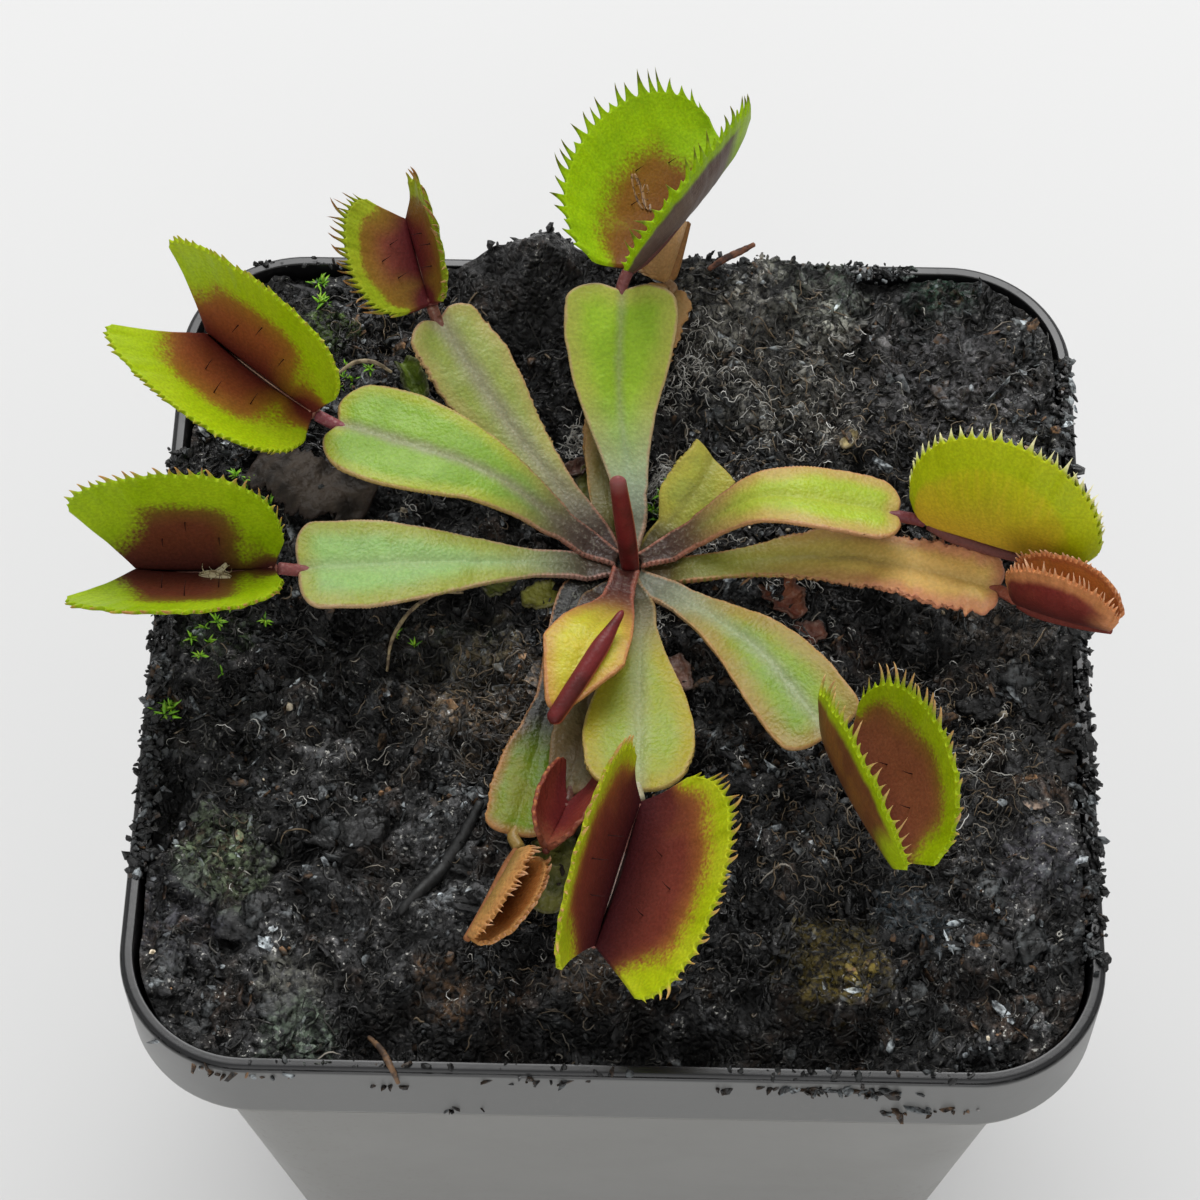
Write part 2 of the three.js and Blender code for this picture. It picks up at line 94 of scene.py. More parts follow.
def sheetShell(middle, thickness, **marks):
    # a thin closed body over a grid of points; its two faces share the grid's border
    rows, columns = middle.shape[:2]
    normal = unit(np.cross(np.gradient(middle, axis=0), np.gradient(middle, axis=1)))
    offset = normal * thickness[..., None] / 2
    inside = np.zeros((rows, columns), bool)
    inside[1:-1, 1:-1] = True
    top = np.arange(rows * columns).reshape(rows, columns)
    low = top.copy()
    low[inside] = rows * columns + np.arange(inside.sum())
    upper = np.where(inside[..., None], middle + offset, middle)
    points = np.vstack([upper.reshape(-1, 3), (middle - offset)[inside]])
    marks["face"] = np.where(inside, 1.0, 0.5)
    full = {}
    for name, value in marks.items():
        value = np.broadcast_to(value, (rows, columns)).astype(float)
        under = np.zeros(inside.sum()) if name == "face" else value[inside]
        full[name] = np.concatenate([value.ravel(), under])
    return {"points": points, "faces": [gridQuads(top), gridQuads(low)[:, ::-1]], "marks": full}


def loftShell(rings, ends=None):
    # a closed body over rings of points, closed by a fan about a point at each end
    count = len(rings[0])
    i = np.arange(count)
    j = (i + 1) % count
    quads = [np.stack([k * count + i, k * count + j, (k + 1) * count + j, (k + 1) * count + i], -1)
             for k in range(len(rings) - 1)]
    last, centre = (len(rings) - 1) * count, np.full(count, len(rings) * count)
    caps = [np.stack([j, i, centre], -1), np.stack([last + i, last + j, centre + 1], -1)]
    ends = ends or [rings[0].mean(0)[None], rings[-1].mean(0)[None]]
    return {"points": np.vstack(rings + ends), "faces": [np.vstack(quads), np.vstack(caps)], "marks": {}}


def tubeShell(route, radii, sides=12, across=(0.31, 0.2, 0.93), flat=1.0, **marks):
    # a closed tube along the route; flat squeezes it at right angles to across
    route, side = np.asarray(route, float), np.asarray(across, float)
    heading = unit(np.gradient(route, axis=0))
    turn = np.linspace(0, 2 * np.pi, sides, endpoint=False)
    rings = []
    for way, at, radius in zip(heading, route, radii):
        side = unit(side - way * np.dot(side, way))
        rings.append(at + radius * (np.cos(turn)[:, None] * side + flat * np.sin(turn)[:, None] * np.cross(way, side)))
    shell = loftShell(rings, [route[:1] - heading[0] * radii[0] * 0.5, route[-1:] + heading[-1] * radii[-1] * 0.5])
    count = len(shell["points"])
    share = np.concatenate([np.repeat(np.linspace(0, 1, len(route)), sides), [0, 1]])
    shell["marks"] = {"along": share, "face": np.full(count, 0.5), "tube": np.ones(count)}
    shell["marks"].update({name: np.full(count, float(value)) for name, value in marks.items()})
    return shell


def copiesShell(points, faces, places, **marks):
    # one shell made of many bodies with the same faces; points hold a row for each body
    count, each = points.shape[:2]
    points = (points + places[:, None]).reshape(-1, 3)
    start = (np.arange(count) * each)[:, None, None]
    full = {name: np.repeat(value, each) for name, value in marks.items()}
    return {"points": points, "faces": [(f[None] + start).reshape(-1, f.shape[1]) for f in faces], "marks": full}


def buildPiece(name, shells, material, replaces=(), sharp=False):
    points = np.vstack([s["points"] for s in shells]) * toMetres
    starts = np.cumsum([0] + [len(s["points"]) for s in shells])
    parts = [faces + start for shell, start in zip(shells, starts) for faces in shell["faces"]]
    corners = np.concatenate([part.ravel() for part in parts])
    totals = np.concatenate([np.full(len(part), part.shape[1]) for part in parts])
    mesh = bpy.data.meshes.new(name)
    mesh.vertices.add(len(points))
    mesh.vertices.foreach_set("co", points.astype(np.float32).ravel())
    mesh.loops.add(len(corners))
    mesh.loops.foreach_set("vertex_index", corners.astype(np.int32))
    mesh.polygons.add(len(totals))
    mesh.polygons.foreach_set("loop_start", np.concatenate([[0], np.cumsum(totals)[:-1]]).astype(np.int32))
    mesh.polygons.foreach_set("loop_total", totals.astype(np.int32))
    mesh.update(calc_edges=True)
    mesh.polygons.foreach_set("use_smooth", np.full(len(totals), not sharp))
    for mark in sorted({mark for s in shells for mark in s["marks"]}):
        values = np.concatenate([s["marks"].get(mark, np.zeros(len(s["points"]))) for s in shells])
        mesh.attributes.new(mark, "FLOAT", "POINT").data.foreach_set("value", values.astype(np.float32))
    mesh.materials.append(material)
    piece = bpy.data.objects.new(name, mesh)
    bpy.context.scene.collection.objects.link(piece)
    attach(piece, "root")
    if replaces:
        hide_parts(*replaces)
    return piece


def noiseOver(points, size, octaves=3, shift=0.0):
    # soft noise, about -1 to 1, with features of that size
    scaled = np.asarray(points, float) / size + shift
    return np.array([noise.fractal(p, 0.9, 2.1, octaves, noise_basis="PERLIN_ORIGINAL") for p in scaled])


def lumpsOver(points, size, shift=0.0):
    # rounded lumps of that size, 1 at each lump's middle
    scaled = np.asarray(points, float) / size + shift
    return np.array([1 - noise.voronoi(p)[0][0] for p in scaled])


def levelNoise(x, y, size, octaves, shift=0.0):
    # soft noise over places seen from above
    flat = np.stack([x, y, x * 0], -1).reshape(-1, 3)
    return noiseOver(flat, size, octaves, shift).reshape(np.shape(x))


def waver(values, seed, octaves=2):
    return levelNoise(values, np.full_like(values, seed), 1.0, octaves)


def roundEdge(distance, reach):
    # how thick a sheet is near its edge, for a rounded edge: 0 on it, 1 from reach inwards
    return np.sqrt(np.clip(1 - (1 - np.clip(distance / reach, 0, 1)) ** 2, 0, 1))


def sheetGrid(rows, columns):
    # shares along a sheet, and across it from -1 to 1, closer together near its sides
    return np.linspace(0, 1, rows), np.sin(np.pi / 2 * np.linspace(-1, 1, columns))


# node helpers and the shared effects

def colour(code):
    parts = [int(code[i:i + 2], 16) / 255 for i in (0, 2, 4)]
    return tuple(c / 12.92 if c <= 0.04045 else ((c + 0.055) / 1.055) ** 2.4 for c in parts) + (1.0,)


class Nodes:
    # one node tree; a value may be a number, a colour's code or another node's socket
    def __init__(self, tree):
        self.tree = tree

    def put(self, socket, value):
        if isinstance(value, bpy.types.NodeSocket):
            self.tree.links.new(value, socket)
        else:
            socket.default_value = colour(value) if isinstance(value, str) else value

    def add(self, kind, inputs=None, **settings):
        made = self.tree.nodes.new("ShaderNode" + kind)
        for name, value in settings.items():
            setattr(made, name, value)
        for name, value in (inputs or {}).items():
            self.put(made.inputs[name], value)
        return made

    def math(self, operation, a, b=0.0, clamp=False):
        return self.add("Math", {0: a, 1: b}, operation=operation, use_clamp=clamp).outputs[0]

    def times(self, a, b):
        return self.math("MULTIPLY", a, b)

    def plus(self, a, b):
        return self.math("ADD", a, b)

    def minus(self, a, b):
        return self.math("SUBTRACT", a, b)

    def vector(self, operation, a, b=None, output="Vector"):
        second = {} if b is None else {"Scale" if operation == "SCALE" else 1: b}
        return self.add("VectorMath", {0: a, **second}, operation=operation).outputs[output]

    def mix(self, share, a, b):
        return self.add("Mix", {0: share, 6: a, 7: b}, data_type="RGBA").outputs[2]

    def ramp(self, value, low, high, start=0.0, stop=1.0):
        return self.add("MapRange", {"Value": value, "From Min": low, "From Max": high, "To Min": start,
                                     "To Max": stop}, interpolation_type="SMOOTHSTEP").outputs[0]

    def place(self):
        return self.add("TexCoord").outputs["Object"]

    def noise(self, scale, detail, where=None, **more):
        where = self.place() if where is None else where
        return self.add("TexNoise", {"Vector": where, "Scale": scale, "Detail": detail,
                                     **more}).outputs["Fac"]

    def cells(self, scale, feature="DISTANCE_TO_EDGE"):
        return self.add("TexVoronoi", {"Vector": self.place(), "Scale": scale}, feature=feature).outputs["Distance"]

    def mark(self, name):
        return self.add("Attribute", attribute_name=name).outputs["Fac"]

    def group(self, group, **inputs):
        return self.add("Group", inputs, node_tree=group).outputs

    def band(self, distance, width, blend, waver=0.2, scale=600.0):
        return self.group(bandGroup, Distance=distance, Width=width, Blend=blend, Waver=waver, Scale=scale)["Mask"]

    def skin(self, pebbles, swellings=420.0):
        made = self.group(skinGroup, Pebbles=pebbles, Swellings=swellings)
        return [made[name] for name in ("Height", "Grain", "Patches", "Glints")]


class Finish(Nodes):
    # a material with its Principled shader; what is given here is the same all over the surface
    def __init__(self, name, rough=None, gloss=None, glow=None, glowDepth=0.0006):
        self.material = bpy.data.materials.new(name)
        self.material.use_nodes = True
        super().__init__(self.material.node_tree)
        self.shader = self.tree.nodes["Principled BSDF"]
        for label, value in (("Roughness", rough), ("Specular IOR Level", gloss), ("Subsurface Weight", glow),
                             ("Subsurface Scale", glow and glowDepth)):
            if value is not None:
                self.shader.inputs[label].default_value = value

    def done(self, base, rough=None, height=None, strength=0.0, depth=0.0):
        self.put(self.shader.inputs["Base Color"], base)
        if rough is not None:
            self.put(self.shader.inputs["Roughness"], rough)
        if height is not None:
            made = self.add("Bump", {"Height": height, "Strength": strength, "Distance": depth})
            self.put(self.shader.inputs["Normal"], made.outputs["Normal"])
        return self.material


def newGroup(name, inputs, outputs):
    # an input's value is its default, or the kind of its socket
    tree = bpy.data.node_groups.new(name, "ShaderNodeTree")
    for label, value in inputs.items():
        kind = value if isinstance(value, str) else "Float"
        made = tree.interface.new_socket(label, in_out="INPUT", socket_type="NodeSocket" + kind)
        if kind == "Float":
            made.default_value = value
    for label, kind in outputs.items():
        tree.interface.new_socket(label, in_out="OUTPUT", socket_type="NodeSocket" + kind)
    return Nodes(tree), tree.nodes.new("NodeGroupInput").outputs, tree.nodes.new("NodeGroupOutput").inputs


def makeBandGroup():
    # 1 within a distance of something, 0 past it, with a wavering border
    n, given, result = newGroup("wavering band", {"Distance": 0.0, "Width": 1.0, "Blend": 0.5, "Waver": 0.2,
                                                  "Scale": 600.0}, {"Mask": "Float"})
    wave = n.times(n.minus(n.noise(given["Scale"], 3.0), 0.5), given["Waver"])
    far = n.plus(given["Width"], given["Blend"])
    n.put(result["Mask"], n.ramp(n.plus(given["Distance"], wave), given["Width"], far, 1.0, 0.0))
    return n.tree


def makeSkinGroup():
    # leaf skin: a fine grain with soft swellings under it
    n, given, result = newGroup("leaf skin", {"Pebbles": 2600.0, "Swellings": 420.0},
                                dict.fromkeys(("Height", "Grain", "Patches", "Glints"), "Float"))
    fine = n.times(given["Pebbles"], 1.7)
    grain, swell = n.noise(fine, 2.0), n.noise(given["Swellings"], 3.0)
    height = n.minus(grain, n.times(n.cells(fine, "SMOOTH_F1"), 0.7))
    n.put(result["Height"], n.plus(height, n.times(swell, 1.6)))
    n.put(result["Grain"], grain)
    n.put(result["Patches"], swell)
    n.put(result["Glints"], n.ramp(grain, 0.52, 0.72))
    return n.tree


def makeSpotGroup():
    # a ragged round patch about a point, seen from above
    n, given, result = newGroup("ragged patch", {"Centre": "Vector", "Radius": 0.005, "Ragged": 0.5},
                                {"Mask": "Float"})
    away = n.vector("DISTANCE", n.vector("MULTIPLY", n.place(), (1, 1, 0)), given["Centre"], "Value")
    wave = n.times(n.times(n.minus(n.noise(500.0, 4.0), 0.5), given["Ragged"]), 3.0)
    share = n.plus(n.math("DIVIDE", away, given["Radius"]), wave)
    n.put(result["Mask"], n.ramp(share, 0.5, 1.0, 1.0, 0.0))
    return n.tree


bandGroup, skinGroup, spotGroup = makeBandGroup(), makeSkinGroup(), makeSpotGroup()

leafFinish = {"rough": 0.44, "bump": 0.38, "bumpDepth": 0.00016, "glow": 0.06, "stalkGloss": 0.28,
              "trapGloss": 0.16, "glint": "b5b6a2", "hair": "2c120f", "patchy": (0.38, 0.62)}


def makeStalkMaterial(name, look):
    # the winged stalk: green blade, pale pebbled midrib, coloured edge and a brownish foot
    n = Finish(name, gloss=leafFinish["stalkGloss"], glow=leafFinish["glow"])
    along, rim = n.mark("along"), n.mark("rim")
    height, grain, swell, glints = n.skin(2300.0, 300.0)
    blade = n.mix(n.ramp(swell, *leafFinish["patchy"]), look["blade"], look["patch"])
    fringe = n.band(rim, look["fringeWidth"], look["fringeBlend"], 0.9)
    blade = n.mix(n.times(fringe, look["fringeShare"]), blade, look["fringe"])
    rib = n.band(n.mark("mid"), look["ribWidth"], look["ribBlend"], 0.4, 900.0)
    rib = n.times(rib, look["ribShare"])
    blade = n.mix(rib, blade, look["rib"])
    foot = n.ramp(along, look["footEnd"], look["footStart"])
    blade = n.mix(foot, blade, look["foot"])
    blade = n.mix(n.ramp(along, look["heartEnd"], -0.04), blade, look["heart"])
    edge = n.band(rim, look["edgeWidth"], 0.22, 0.25, 900.0)
    blade = n.mix(n.times(edge, 0.6), blade, look["edge"])
    blade = n.mix(n.mark("tube"), blade, look["neck"])
    # pale glints on the pebbles, most of them on the midrib and the foot
    shine = n.times(n.math("MAXIMUM", n.times(rib, 0.9), n.times(foot, 0.6)), 0.2)
    blade = n.mix(n.times(n.plus(shine, 0.01), glints), blade, leafFinish["glint"])
    blade = n.vector("SCALE", blade, n.ramp(grain, 0.3, 0.7, 0.9, 1.07))
    rough = n.ramp(swell, 0.3, 0.7, leafFinish["rough"] - 0.08, leafFinish["rough"] + 0.06)
    return n.done(blade, rough, height, leafFinish["bump"], leafFinish["bumpDepth"])


def makeTrapMaterial(name, look):
    # a lobe: dark inside with a stippled border to its green margin, and an outer face of its own colour
    n = Finish(name, gloss=leafFinish["trapGloss"], glow=leafFinish["glow"])
    along, mid = n.mark("along"), n.mark("mid")
    height, grain, swell, _ = n.skin(2600.0, 260.0)
    patches = n.ramp(swell, *leafFinish["patchy"])
    where = n.add("CombineXYZ", {"X": n.times(along, 46.0), "Y": n.times(mid, 0.28)}).outputs[0]
    streaks = n.noise(1.0, 3.0, where)
    # inside, from the rib to the margin, which is thin at the heel, beside the stalk
    inner = n.mix(n.ramp(mid, 0.2, look["deepTo"]), look["deep"], look["middle"])
    rim = n.times(n.mark("rim"), n.ramp(along, 0.3, 0.0, 1.0, 2.8))
    warm = n.band(rim, look["marginWidth"] + 0.5, look["warmBlend"], 0.6)
    inner = n.mix(n.times(warm, 0.75), inner, look["warm"])
    green = n.mix(patches, look["margin"], look["marginPatch"])
    tip = n.band(n.mark("corner"), look["tipReach"], 2.4, 1.2, 400.0)
    border = n.math("MAXIMUM", n.band(rim, look["marginWidth"], look["marginBlend"], 0.9, 500.0), tip)
    loose = n.times(n.times(border, n.minus(1.0, border)), 3.4)
    dots = n.times(n.times(n.minus(n.noise(4200.0, 1.0), 0.5), loose), 2.2)
    inner = n.mix(n.math("ADD", border, dots, True), inner, green)
    # outside
    outer = n.mix(patches, look["outer"], look["outerPatch"])
    outer = n.mix(n.ramp(mid, look["outerTo"], 1.0), outer, look["outerDeep"])
    outer = n.mix(n.times(n.ramp(streaks, 0.45, 0.65), 0.25), outer, look["outerDeep"])
    outer = n.mix(n.math("MAXIMUM", n.band(rim, look["outerMargin"], 0.8, 0.4), tip), outer, green)
    skin = n.mix(n.ramp(n.mark("face"), 0.4, 0.6), outer, inner)
    skin = n.mix(n.ramp(n.mark("tooth"), look["toothFrom"], 0.75), skin, look["tooth"])
    for part, tone in (("tube", look["rib"]), ("line", look["line"]), ("hair", leafFinish["hair"])):
        skin = n.mix(n.mark(part), skin, tone)
    shade = n.times(n.ramp(streaks, 0.3, 0.7, 0.95, 1.05), n.ramp(grain, 0.3, 0.7, 0.88, 1.1))
    rough = n.ramp(swell, 0.3, 0.7, leafFinish["rough"] + 0.02, leafFinish["rough"] + 0.14)
    return n.done(n.vector("SCALE", skin, shade), rough, height, look["bump"], leafFinish["bumpDepth"] * 0.6)


# pot

pot = {
    # millimetres; the band is the deeper part round the rim, and its lip is the band's lower edge
    "height": 80, "rimHalf": 35, "rimCorner": 9.5, "bandFoot": 72, "lip": 0.6, "bodyHalf": 32.5, "bodyCorner": 7.6,
    "baseHalf": 24, "baseCorner": 5, "wall": 1, "floor": 1.6, "drainRadius": 3.5, "drainOffset": 14,
    # colours and polish; the outside's grey, lighter on the body, is painted reflection of the pale floor on black
    # plastic, and the dark inside is painted shade; the dust colour is real dust and also a painted highlight along
    # the lip
    "plastic": "6b6b6a", "body": "807f7c", "inside": "141416", "dust": "a5a29c", "rough": 0.38,
}


def squareRing(half, corner, z, cornerSteps=20, sideSteps=6):
    ring = []
    straight = half - corner
    for side in range(4):
        turn = side * math.pi / 2
        c, s = math.cos(turn), math.sin(turn)
        for i in range(cornerSteps + 1):
            a = i / cornerSteps * math.pi / 2
            x, y = straight + corner * math.cos(a), straight + corner * math.sin(a)
            ring.append((x * c - y * s, x * s + y * c, z))
        for i in range(1, sideSteps):
            x, y = straight - 2 * straight * i / sideSteps, half
            ring.append((x * c - y * s, x * s + y * c, z))
    return np.array(ring)


def roundProfile(corners):
    # (half, corner, z, rounding) turned into points, each corner rounded by a short curve
    out = []
    places = [np.array(c[:3], float) for c in corners]
    for k, (here, rounding) in enumerate(zip(places, [c[3] for c in corners])):
        if rounding == 0:
            out.append(here)
            continue
        before, after = unit(places[k - 1] - here), unit(places[(k + 1) % len(places)] - here)
        out.append(here + before * rounding * 1.8)
        for t in np.linspace(0, 1, 6):
            out.append(here + before * rounding * (1 - t) ** 2 + after * rounding * t**2)
        out.append(here + after * rounding * 1.8)
    return out


def makePotMaterial():
    n = Finish("black pot plastic", gloss=0.5)
    cloud, fine = n.noise(60.0, 4.0), n.noise(1800.0, 3.0)
    dust = n.times(n.ramp(fine, 0.56, 0.72), n.ramp(cloud, 0.45, 0.7))
    height = n.add("SeparateXYZ", {"Vector": n.place()}).outputs["Z"]
    foot, top = pot["bandFoot"] * toMetres, pot["height"] * toMetres
    # the body below the band is lighter than the band: painted reflection of the pale floor
    base = n.mix(n.ramp(height, foot - 0.0002, foot + 0.0002), pot["body"], pot["plastic"])
    # a thin painted highlight along the band's lower edge in the dust colour, then real dust in patches
    lip = n.times(n.ramp(height, foot - 0.0001, foot + 0.0001), n.ramp(height, foot + 0.0008, foot + 0.0004))
    for share in (n.times(lip, 0.6), n.times(dust, 0.35)):
        base = n.mix(share, base, pot["dust"])
    # the inside of the rim and its top are bare and near black, darker than the lit outside: painted shade
    straight = (pot["rimHalf"] - pot["rimCorner"]) * toMetres
    past = n.vector("SUBTRACT", n.vector("ABSOLUTE", n.place()), (straight, straight, 1))
    away = n.vector("LENGTH", n.vector("MAXIMUM", past, (0, 0, 0)), output="Value")
    skinEdge = (pot["rimCorner"] - 0.2) * toMetres
    inner = n.math("MAXIMUM", n.ramp(away, skinEdge, skinEdge - 0.0003),
                   n.ramp(height, top - 0.0006, top - 0.0002))
    inner = n.times(inner, n.ramp(height, foot + 0.0004, foot + 0.0008))
    rough = n.ramp(cloud, 0.3, 0.7, pot["rough"] - 0.05, pot["rough"] + 0.1)
    rough = n.plus(n.minus(rough, n.times(inner, 0.1)), n.times(dust, 0.3))
    return n.done(n.mix(inner, base, pot["inside"]), rough, fine, 0.12, 0.00005)


def makePot():
    wall, top, bandFoot = pot["wall"], pot["height"], pot["bandFoot"]
    half, corner = pot["rimHalf"], pot["rimCorner"]
    profile = roundProfile([
        (pot["baseHalf"], pot["baseCorner"], 0, 0.5),
        (pot["bodyHalf"], pot["bodyCorner"], bandFoot, 0.3),
        (half - 0.2, corner - 0.2, bandFoot, 0.28),
        (half, corner, bandFoot + pot["lip"], 0.25),
        (half, corner, top - 0.35, 0.2),
        (half - 0.3, corner - 0.3, top, 0.2),
        (half - wall, corner - wall, top, 0.18),
        (half - wall - 0.1, corner - wall - 0.1, bandFoot + wall, 0.4),
        (pot["bodyHalf"] - wall, pot["bodyCorner"] - wall, bandFoot + wall / 2, 0.4),
        (pot["baseHalf"] - wall, pot["baseCorner"] - wall, pot["floor"], 0.5),
    ])
    # the corners of the base and of the floor inside are rounded with listed steps, as the faces beside them are flat
    foot = [(0.5, 0), (0.15, 0.12), (0, 0.45)]
    low = [(pot["baseHalf"] - inset, pot["baseCorner"] - inset, z) for inset, z in foot]
    high = [(pot["baseHalf"] - wall - inset, pot["baseCorner"] - wall - inset, pot["floor"] + z)
            for inset, z in foot[::-1]]
    rings = [squareRing(*p) for p in low + profile[8:-8] + high]
    piece = buildPiece("potShell", [loftShell(rings)], makePotMaterial(), ["pot"])
    for x in (-1, 1):
        for y in (-1, 1):
            drill, radius = bmesh.new(), pot["drainRadius"] * toMetres
            bmesh.ops.create_cone(drill, cap_ends=True, segments=48, depth=6 * toMetres, radius1=radius,
                                  radius2=radius)
            offset = Vector((x * pot["drainOffset"], y * pot["drainOffset"], 0)) * toMetres
            bmesh.ops.translate(drill, verts=drill.verts, vec=offset)
            cutter = bpy.data.objects.new("drill", bpy.data.meshes.new("drill"))
            drill.to_mesh(cutter.data)
            drill.free()
            bpy.context.scene.collection.objects.link(cutter)
            cut = piece.modifiers.new("drain", "BOOLEAN")
            cut.operation, cut.solver, cut.object = "DIFFERENCE", "EXACT", cutter
            bpy.context.view_layer.update()
            drilled = bpy.data.meshes.new_from_object(piece.evaluated_get(bpy.context.evaluated_depsgraph_get()))
            piece.modifiers.clear()
            piece.data = drilled
            bpy.data.objects.remove(cutter)


makePot()
print("pot made")


# peat

peat = {
    "level": 79, "half": 33.6, "corner": 8.1, "grid": 296, "crownAt": (0.6, 5.4), "dip": 0.4, "dipRadius": 4.2,
    # mounds and hollows: (x, y), height, spread
    "mounds": [((0.6, 4), 1.9, (11, 11)), ((-8, 32), 4.2, (3.4, 4)), ((3, 33), 3.6, (11, 5)),
               ((34, 6), 2.2, (7, 18)), ((0, -32.2), -4.4, (15, 2.6)), ((15.6, -25.3), 0.9, (2.6, 2.2)),
               ((29, -18), 0.9, (3, 5)), ((-22, -6), 0.8, (9, 12))],
    # ripples: height, turns along x and y, shift
    "ripples": [(0.32, 0.62, 0.35, 0.4), (0.28, -0.4, 0.71, 1.9), (0.22, 1.1, -0.8, 3.1)],
    # tones
    "black": "080808", "grey": "565657", "slate": "6c7275", "umber": "0c0907", "brown": "4a382a", "glint": "b5b4ae",
    # where the peat is bare: (x, y), radius, share of what lies on it that is left out
    "bare": [((-8, 32), 6.0, 1.0), ((-13, -31.8), 4.2, 0.8), ((-5, -31.8), 4.2, 0.9), ((3, -31.8), 4.2, 0.9),
             ((11, -31.8), 4.2, 0.8), ((-15, -20), 7, 0.5), ((20, 24), 9, 0.45), ((28, -14), 6, 0.6),
             ((-24, -27), 6, 0.5), ((8, -20), 5, 0.4)],
    # patches of another colour: (x, y), radius, colour, strength
    "patches": [((15.6, -25.3), 4.6, "6c5e28", 0.85), ((-27.8, -18.7), 4.2, "6c7a5e", 0.7),
                ((-22.4, -28), 3.2, "6e6e66", 0.6), ((-11, -5), 6.5, "66543f", 0.6),
                ((-8, 32), 5.6, "09090a", 0.95), ((-15, -21), 8.0, "0e0e0e", 0.6),
                # the four near-black patches along the front rim are painted shadow in the trench between the peat and
                # the rim
                ((-15, -33.6), 6.6, "020202", 1.0), ((-7, -33.6), 6.6, "020202", 1.0),
                ((1, -33.6), 6.6, "020202", 1.0), ((9, -33.6), 6.6, "020202", 1.0),
                ((28.6, 2.6), 4.5, "5c5248", 0.7), ((-21.6, -32), 3.4, "6c7a6a", 0.7),
                ((-24, 28), 3.2, "4f6a1c", 0.6), ((-30, 1), 3.4, "35501a", 0.6), ((-12, -1), 5.0, "26331c", 0.4),
                ((15.5, 31.3), 4.6, "3c4c3e", 0.7), ((24.8, 32.4), 3.6, "2c4a3a", 0.7),
                ((13, 25.5), 9.5, "7c7a72", 0.75), ((24, 24), 8.0, "5e5c5e", 0.8), ((-30, 24), 5.0, "4a5038", 0.6),
                ((21.5, -21.4), 3.4, "56626a", 0.6), ((30.5, -17.8), 4.0, "45434a", 0.6),
                ((-12, -27.4), 2.6, "6a5038", 0.6), ((-2, -26.6), 3, "5a4632", 0.5),
                ((5.9, 28.6), 4.5, "64625a", 0.8), ((18, 0.6), 2.6, "4a3024", 0.6),
                ((-31, -23), 4.0, "46464c", 0.6)],
}


def peatHeight(x, y):
    z = np.full(np.shape(x), float(peat["level"]))
    for at, height, spread in peat["mounds"]:
        z = z + height * np.exp(-(((x - at[0]) / spread[0]) ** 2 + ((y - at[1]) / spread[1]) ** 2) / 2)
    for height, alongX, alongY, shift in peat["ripples"]:
        z = z + height * np.sin(alongX * x + alongY * y + shift)
    away = np.hypot(x - peat["crownAt"][0], y - peat["crownAt"][1])
    return z - peat["dip"] * (1 - smooth(peat["dipRadius"] - 1.6, peat["dipRadius"] + 0.4, away))


def ridgesOver(points, size, shift=0.0):
    # sharp ridges with hollows between them, about -1 to 1
    scaled = np.asarray(points, float) / size + shift
    return np.array([noise.ridged_multi_fractal(p, 0.8, 2.2, 4, 1.0, 2.0) for p in scaled]) * 1.4 - 1.65


def peatRelief(x, y, fineShare=1.0):
    flat = np.stack([x, y, np.zeros_like(x)], -1)
    bent = flat + 0.5 * np.stack([noiseOver(flat, 1.6, 2, 4.4), noiseOver(flat, 1.6, 2, 8.8), x * 0], -1)
    coarse = 1.0 * noiseOver(flat, 5.0, 3, 2.7) + 0.85 * ridgesOver(bent, 4.4, 1.3)
    fine = 0.5 * (lumpsOver(bent, 1.25, 7.3) - 0.5) + 0.28 * (lumpsOver(bent, 0.6, 3.1) - 0.5)
    away = np.hypot(x - peat["crownAt"][0], y - peat["crownAt"][1])
    coarse = (coarse - 0.15) * smooth(2.0, 6.5, away)
    return coarse + fine if fineShare == 1 else 0.6 * coarse + fineShare * fine


def peatTop(x, y):
    x, y = np.asarray(x, float), np.asarray(y, float)
    return peatHeight(x, y) + peatRelief(x, y)


def makeDampAndShadeGroup():
    # peat and all that lies on it: coloured in patches, darker in broad wet places, with painted shade in the hollows
    # and a painted highlight on the ridges
    n, given, result = newGroup("damp peat", {"Color": "Color", "Relief": 0.0}, {"Color": "Color"})
    broad, close, grain = n.noise(95.0, 3.0), n.noise(560.0, 3.0), n.noise(2300.0, 3.0)
    base, lift = given["Color"], 0.0
    for (x, y), radius, tone, share in peat["patches"]:
        spot = n.group(spotGroup, Centre=(x * toMetres, y * toMetres, 0), Radius=radius * toMetres,
                       Ragged=0.6)["Mask"]
        spot = n.times(spot, n.ramp(grain, 0.4, 0.6, 0.1 * share, share))
        base = n.mix(spot, base, tone)
        lift = n.math("MAXIMUM", lift, spot)
    shade = n.times(n.ramp(broad, 0.4, 0.62, 0.32, 1.15), n.ramp(close, 0.38, 0.62, 0.25, 1.7))
    # painted shade in the hollows and painted highlight on the ridges, following the relief mark
    shade = n.times(shade, n.ramp(given["Relief"], -0.8, 0.7, 0.06, 1.6))
    n.put(result["Color"], n.vector("SCALE", base, n.plus(shade, n.times(lift, 0.55))))
    return n.tree


dampAndShadeGroup = makeDampAndShadeGroup()


def dampedAndShaded(n, base):
    return n.group(dampAndShadeGroup, Color=base, Relief=n.mark("relief"))["Color"]


